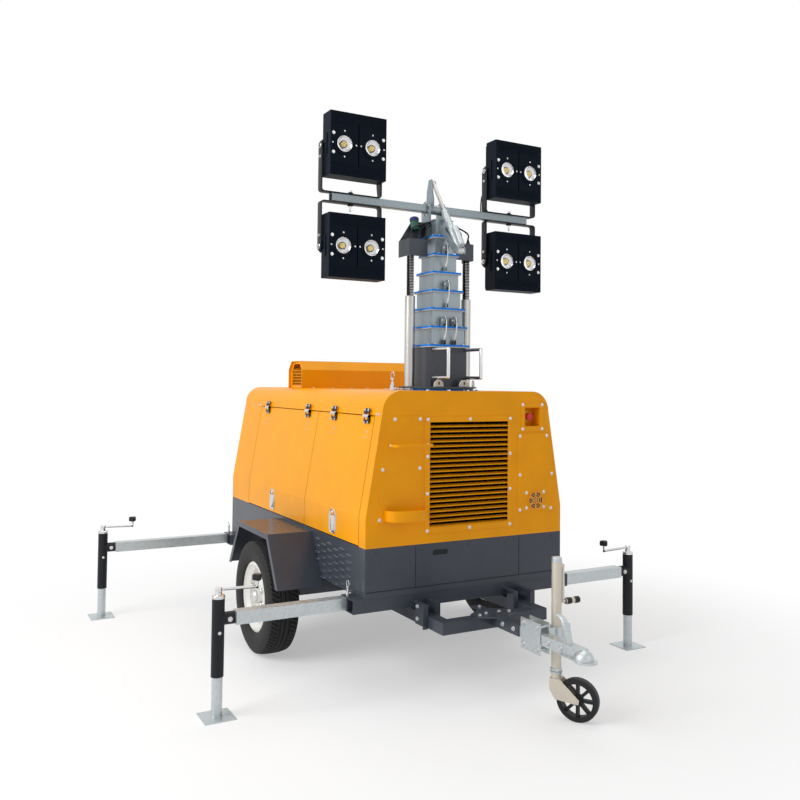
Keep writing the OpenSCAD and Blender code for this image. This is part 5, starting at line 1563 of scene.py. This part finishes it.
@dataclass
class Hitch:
    """Bolts of the drawbar, handle of the coupler and dress of the jockey wheel."""

    tow_z: float = 384.0
    ball_x: float = 913.0
    jockey: tuple[float, float] = (615.0, 92.0)
    turn: float = 33.0
    trail: float = 105.0

    def bolts(self, shop: Workshop) -> None:
        """Zinc bolts through hangers, gusset, socket, clamp plates and coupler."""
        parts = []
        for x, z in ((20, 430), (95, 430), (20, 366), (95, 366), (-520, 430), (-480, 366)):
            for y, way in ((-326.5, Facing.RIGHT), (326.5, Facing.LEFT)):
                parts.append(hex_bolt(9, 9).facing(way, (x, y, z)))
        for x, y in ((238, -90), (238, 90), (220, -40), (220, 40), (100, 0)):
            parts.append(hex_bolt(8, 8).moved(x, y, 406.5))
        for x in (438, 348):
            parts.append(hex_bolt(9, 9).facing(Facing.RIGHT, (x, -28.6, self.tow_z)))
            parts.append(hex_bolt(9, 9).facing(Facing.LEFT, (x, 28.6, self.tow_z)))
        for x in (517, 623):
            for z in (self.tow_z - 51, self.tow_z + 51):
                parts.append(hex_bolt(9, 9).facing(Facing.RIGHT, (x, -29.2, z)))
        for x in (700, 790):
            parts.append(hex_bolt(9, 9).facing(Facing.RIGHT, (x, -27.6, self.tow_z)))
        shop.place("drawbar_bolts", join(parts), SCREW, "trailer")

    def coupler_handle(self, shop: Workshop) -> None:
        """Pressed handle of the coupler: a channel that leans back and widens to a round grip."""
        path = curve_through([(820, 0, 408), (812, 0, 440), (800, 0, 476), (776, 0, 508), (744, 0, 520)], 6)
        section = oblong(30, 11, 5, 4)
        shop.place("coupler_handle", sweep(path, section[:, ::-1], up=(0, 1, 0)), ZINC, "trailer")
        dome = lathe([(46, 0), (46, 8), (42, 22), (34, 34), (22, 42), (8, 45), (1, 45.4)], 32).moved(self.ball_x, 0, self.tow_z - 20)
        skirt = slab(oblong(200, 84, 40, 10), 0, 7, 2).moved(self.ball_x - 35, 0, self.tow_z - 23.5)
        shop.place("coupler_dome", join([dome, skirt]), ZINC, "trailer")

    def jockey_dress(self, shop: Workshop) -> None:
        """Crank, collar and top cap of the jockey tube."""
        jx, jy = self.jockey
        cap = lathe([(25.5, -18), (25.5, 0), (22, 5), (8, 7), (1, 7.2)], 24).moved(jx, jy, 748)
        collar = lathe([(25.5, 0), (28, 2), (28, 12), (25.5, 14)], 24).moved(jx, jy, 219)
        shop.place("jockey_caps", join([cap, collar]), ZINC, "jockey")
        y = jy + 24 + 12
        arm = rounded_path([(jx, y - 10, 708), (jx, y + 2, 708), (jx, y + 4, 540), (jx, y + 100, 538)], 10)
        shop.place("jockey_crank", sweep(arm, disc(7, 10), up=(1, 0, 0)), SCREW, "jockey")
        grip = lathe([(10, 0), (15.5, 3), (16.5, 12), (14.5, 40), (16.5, 70), (15.5, 80), (9, 84)], 20)
        shop.place("jockey_grip", grip.facing(Facing.LEFT, (jx, y + 18, 538)), KNOB, "jockey")

    def jockey_tyre(self, shop: Workshop) -> None:
        """Ribbed tyre and hub cap of the jockey wheel."""
        jx, jy = self.jockey
        tread = lathe(
            [(84, -23.5), (96, -23.5), (99.6, -17), (98.2, -13), (99.8, -9), (98.4, 0), (99.8, 9), (98.2, 13), (99.6, 17),
             (96, 23.5), (84, 23.5)], 64, True,
        )
        parts = [tread.facing(Facing.LEFT)]
        for way, y in ((Facing.RIGHT, -26.5), (Facing.LEFT, 26.5)):
            parts.append(lathe([(18, -4), (18, -1), (14, 0), (2, 0.4)], 20).facing(way, (0, y, 0)))
        whole = join(parts).moved(self.trail, 0, 100).turned("Z", self.turn).moved(jx, jy, 0)
        shop.place("jockey_tyre", whole, CASTOR, "jockey_wheel")

    def build(self, shop: Workshop) -> None:
        """Makes the dress of the hitch."""
        self.bolts(shop)
        self.coupler_handle(shop)
        self.jockey_dress(shop)
        self.jockey_tyre(shop)


@dataclass
class Rear:
    """Rear cover bolts and roof duct bolts."""

    back: float = -2153.0

    def build(self, shop: Workshop) -> None:
        """Makes the dress of the rear and of the duct."""
        spots = [(self.back, y, z) for y in (-285.0, 0.0, 285.0) for z in (835.0, 1095.0, 1355.0)]
        shop.place("rear_bolts", stamp(bolt_head(7, 6).facing(Facing.BACK), spots), SCREW, "trailer")
        duct = [(x, s * y, 1534.0) for x in (-1612.0, -1352.0) for s in (-1, 1) for y in (60.0, 200.0, 340.0)]
        shop.place("duct_bolts", stamp(bolt_head(6, 6), duct), SCREW, "trailer")


def main() -> None:
    """Builds the studio, the finishes and every sub-assembly."""
    logging.basicConfig(level=logging.INFO, format="%(name)s: %(message)s")
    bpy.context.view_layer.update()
    Studio().build()
    SolidFinishes().dress()
    shop = Workshop()
    for assembly in (
        FrontFace(), Doors(), RoofGear(), LowerBody(), RoadWheel(), Mast(), CurlyCables(), FloodLamp(), LampBar(),
        Head(), Jacks(), Hitch(), Rear(),
    ):
        assembly.build(shop)
        log.info("%s done, %d pieces so far", type(assembly).__name__, shop.count)


if __name__ == "__main__":
    main()
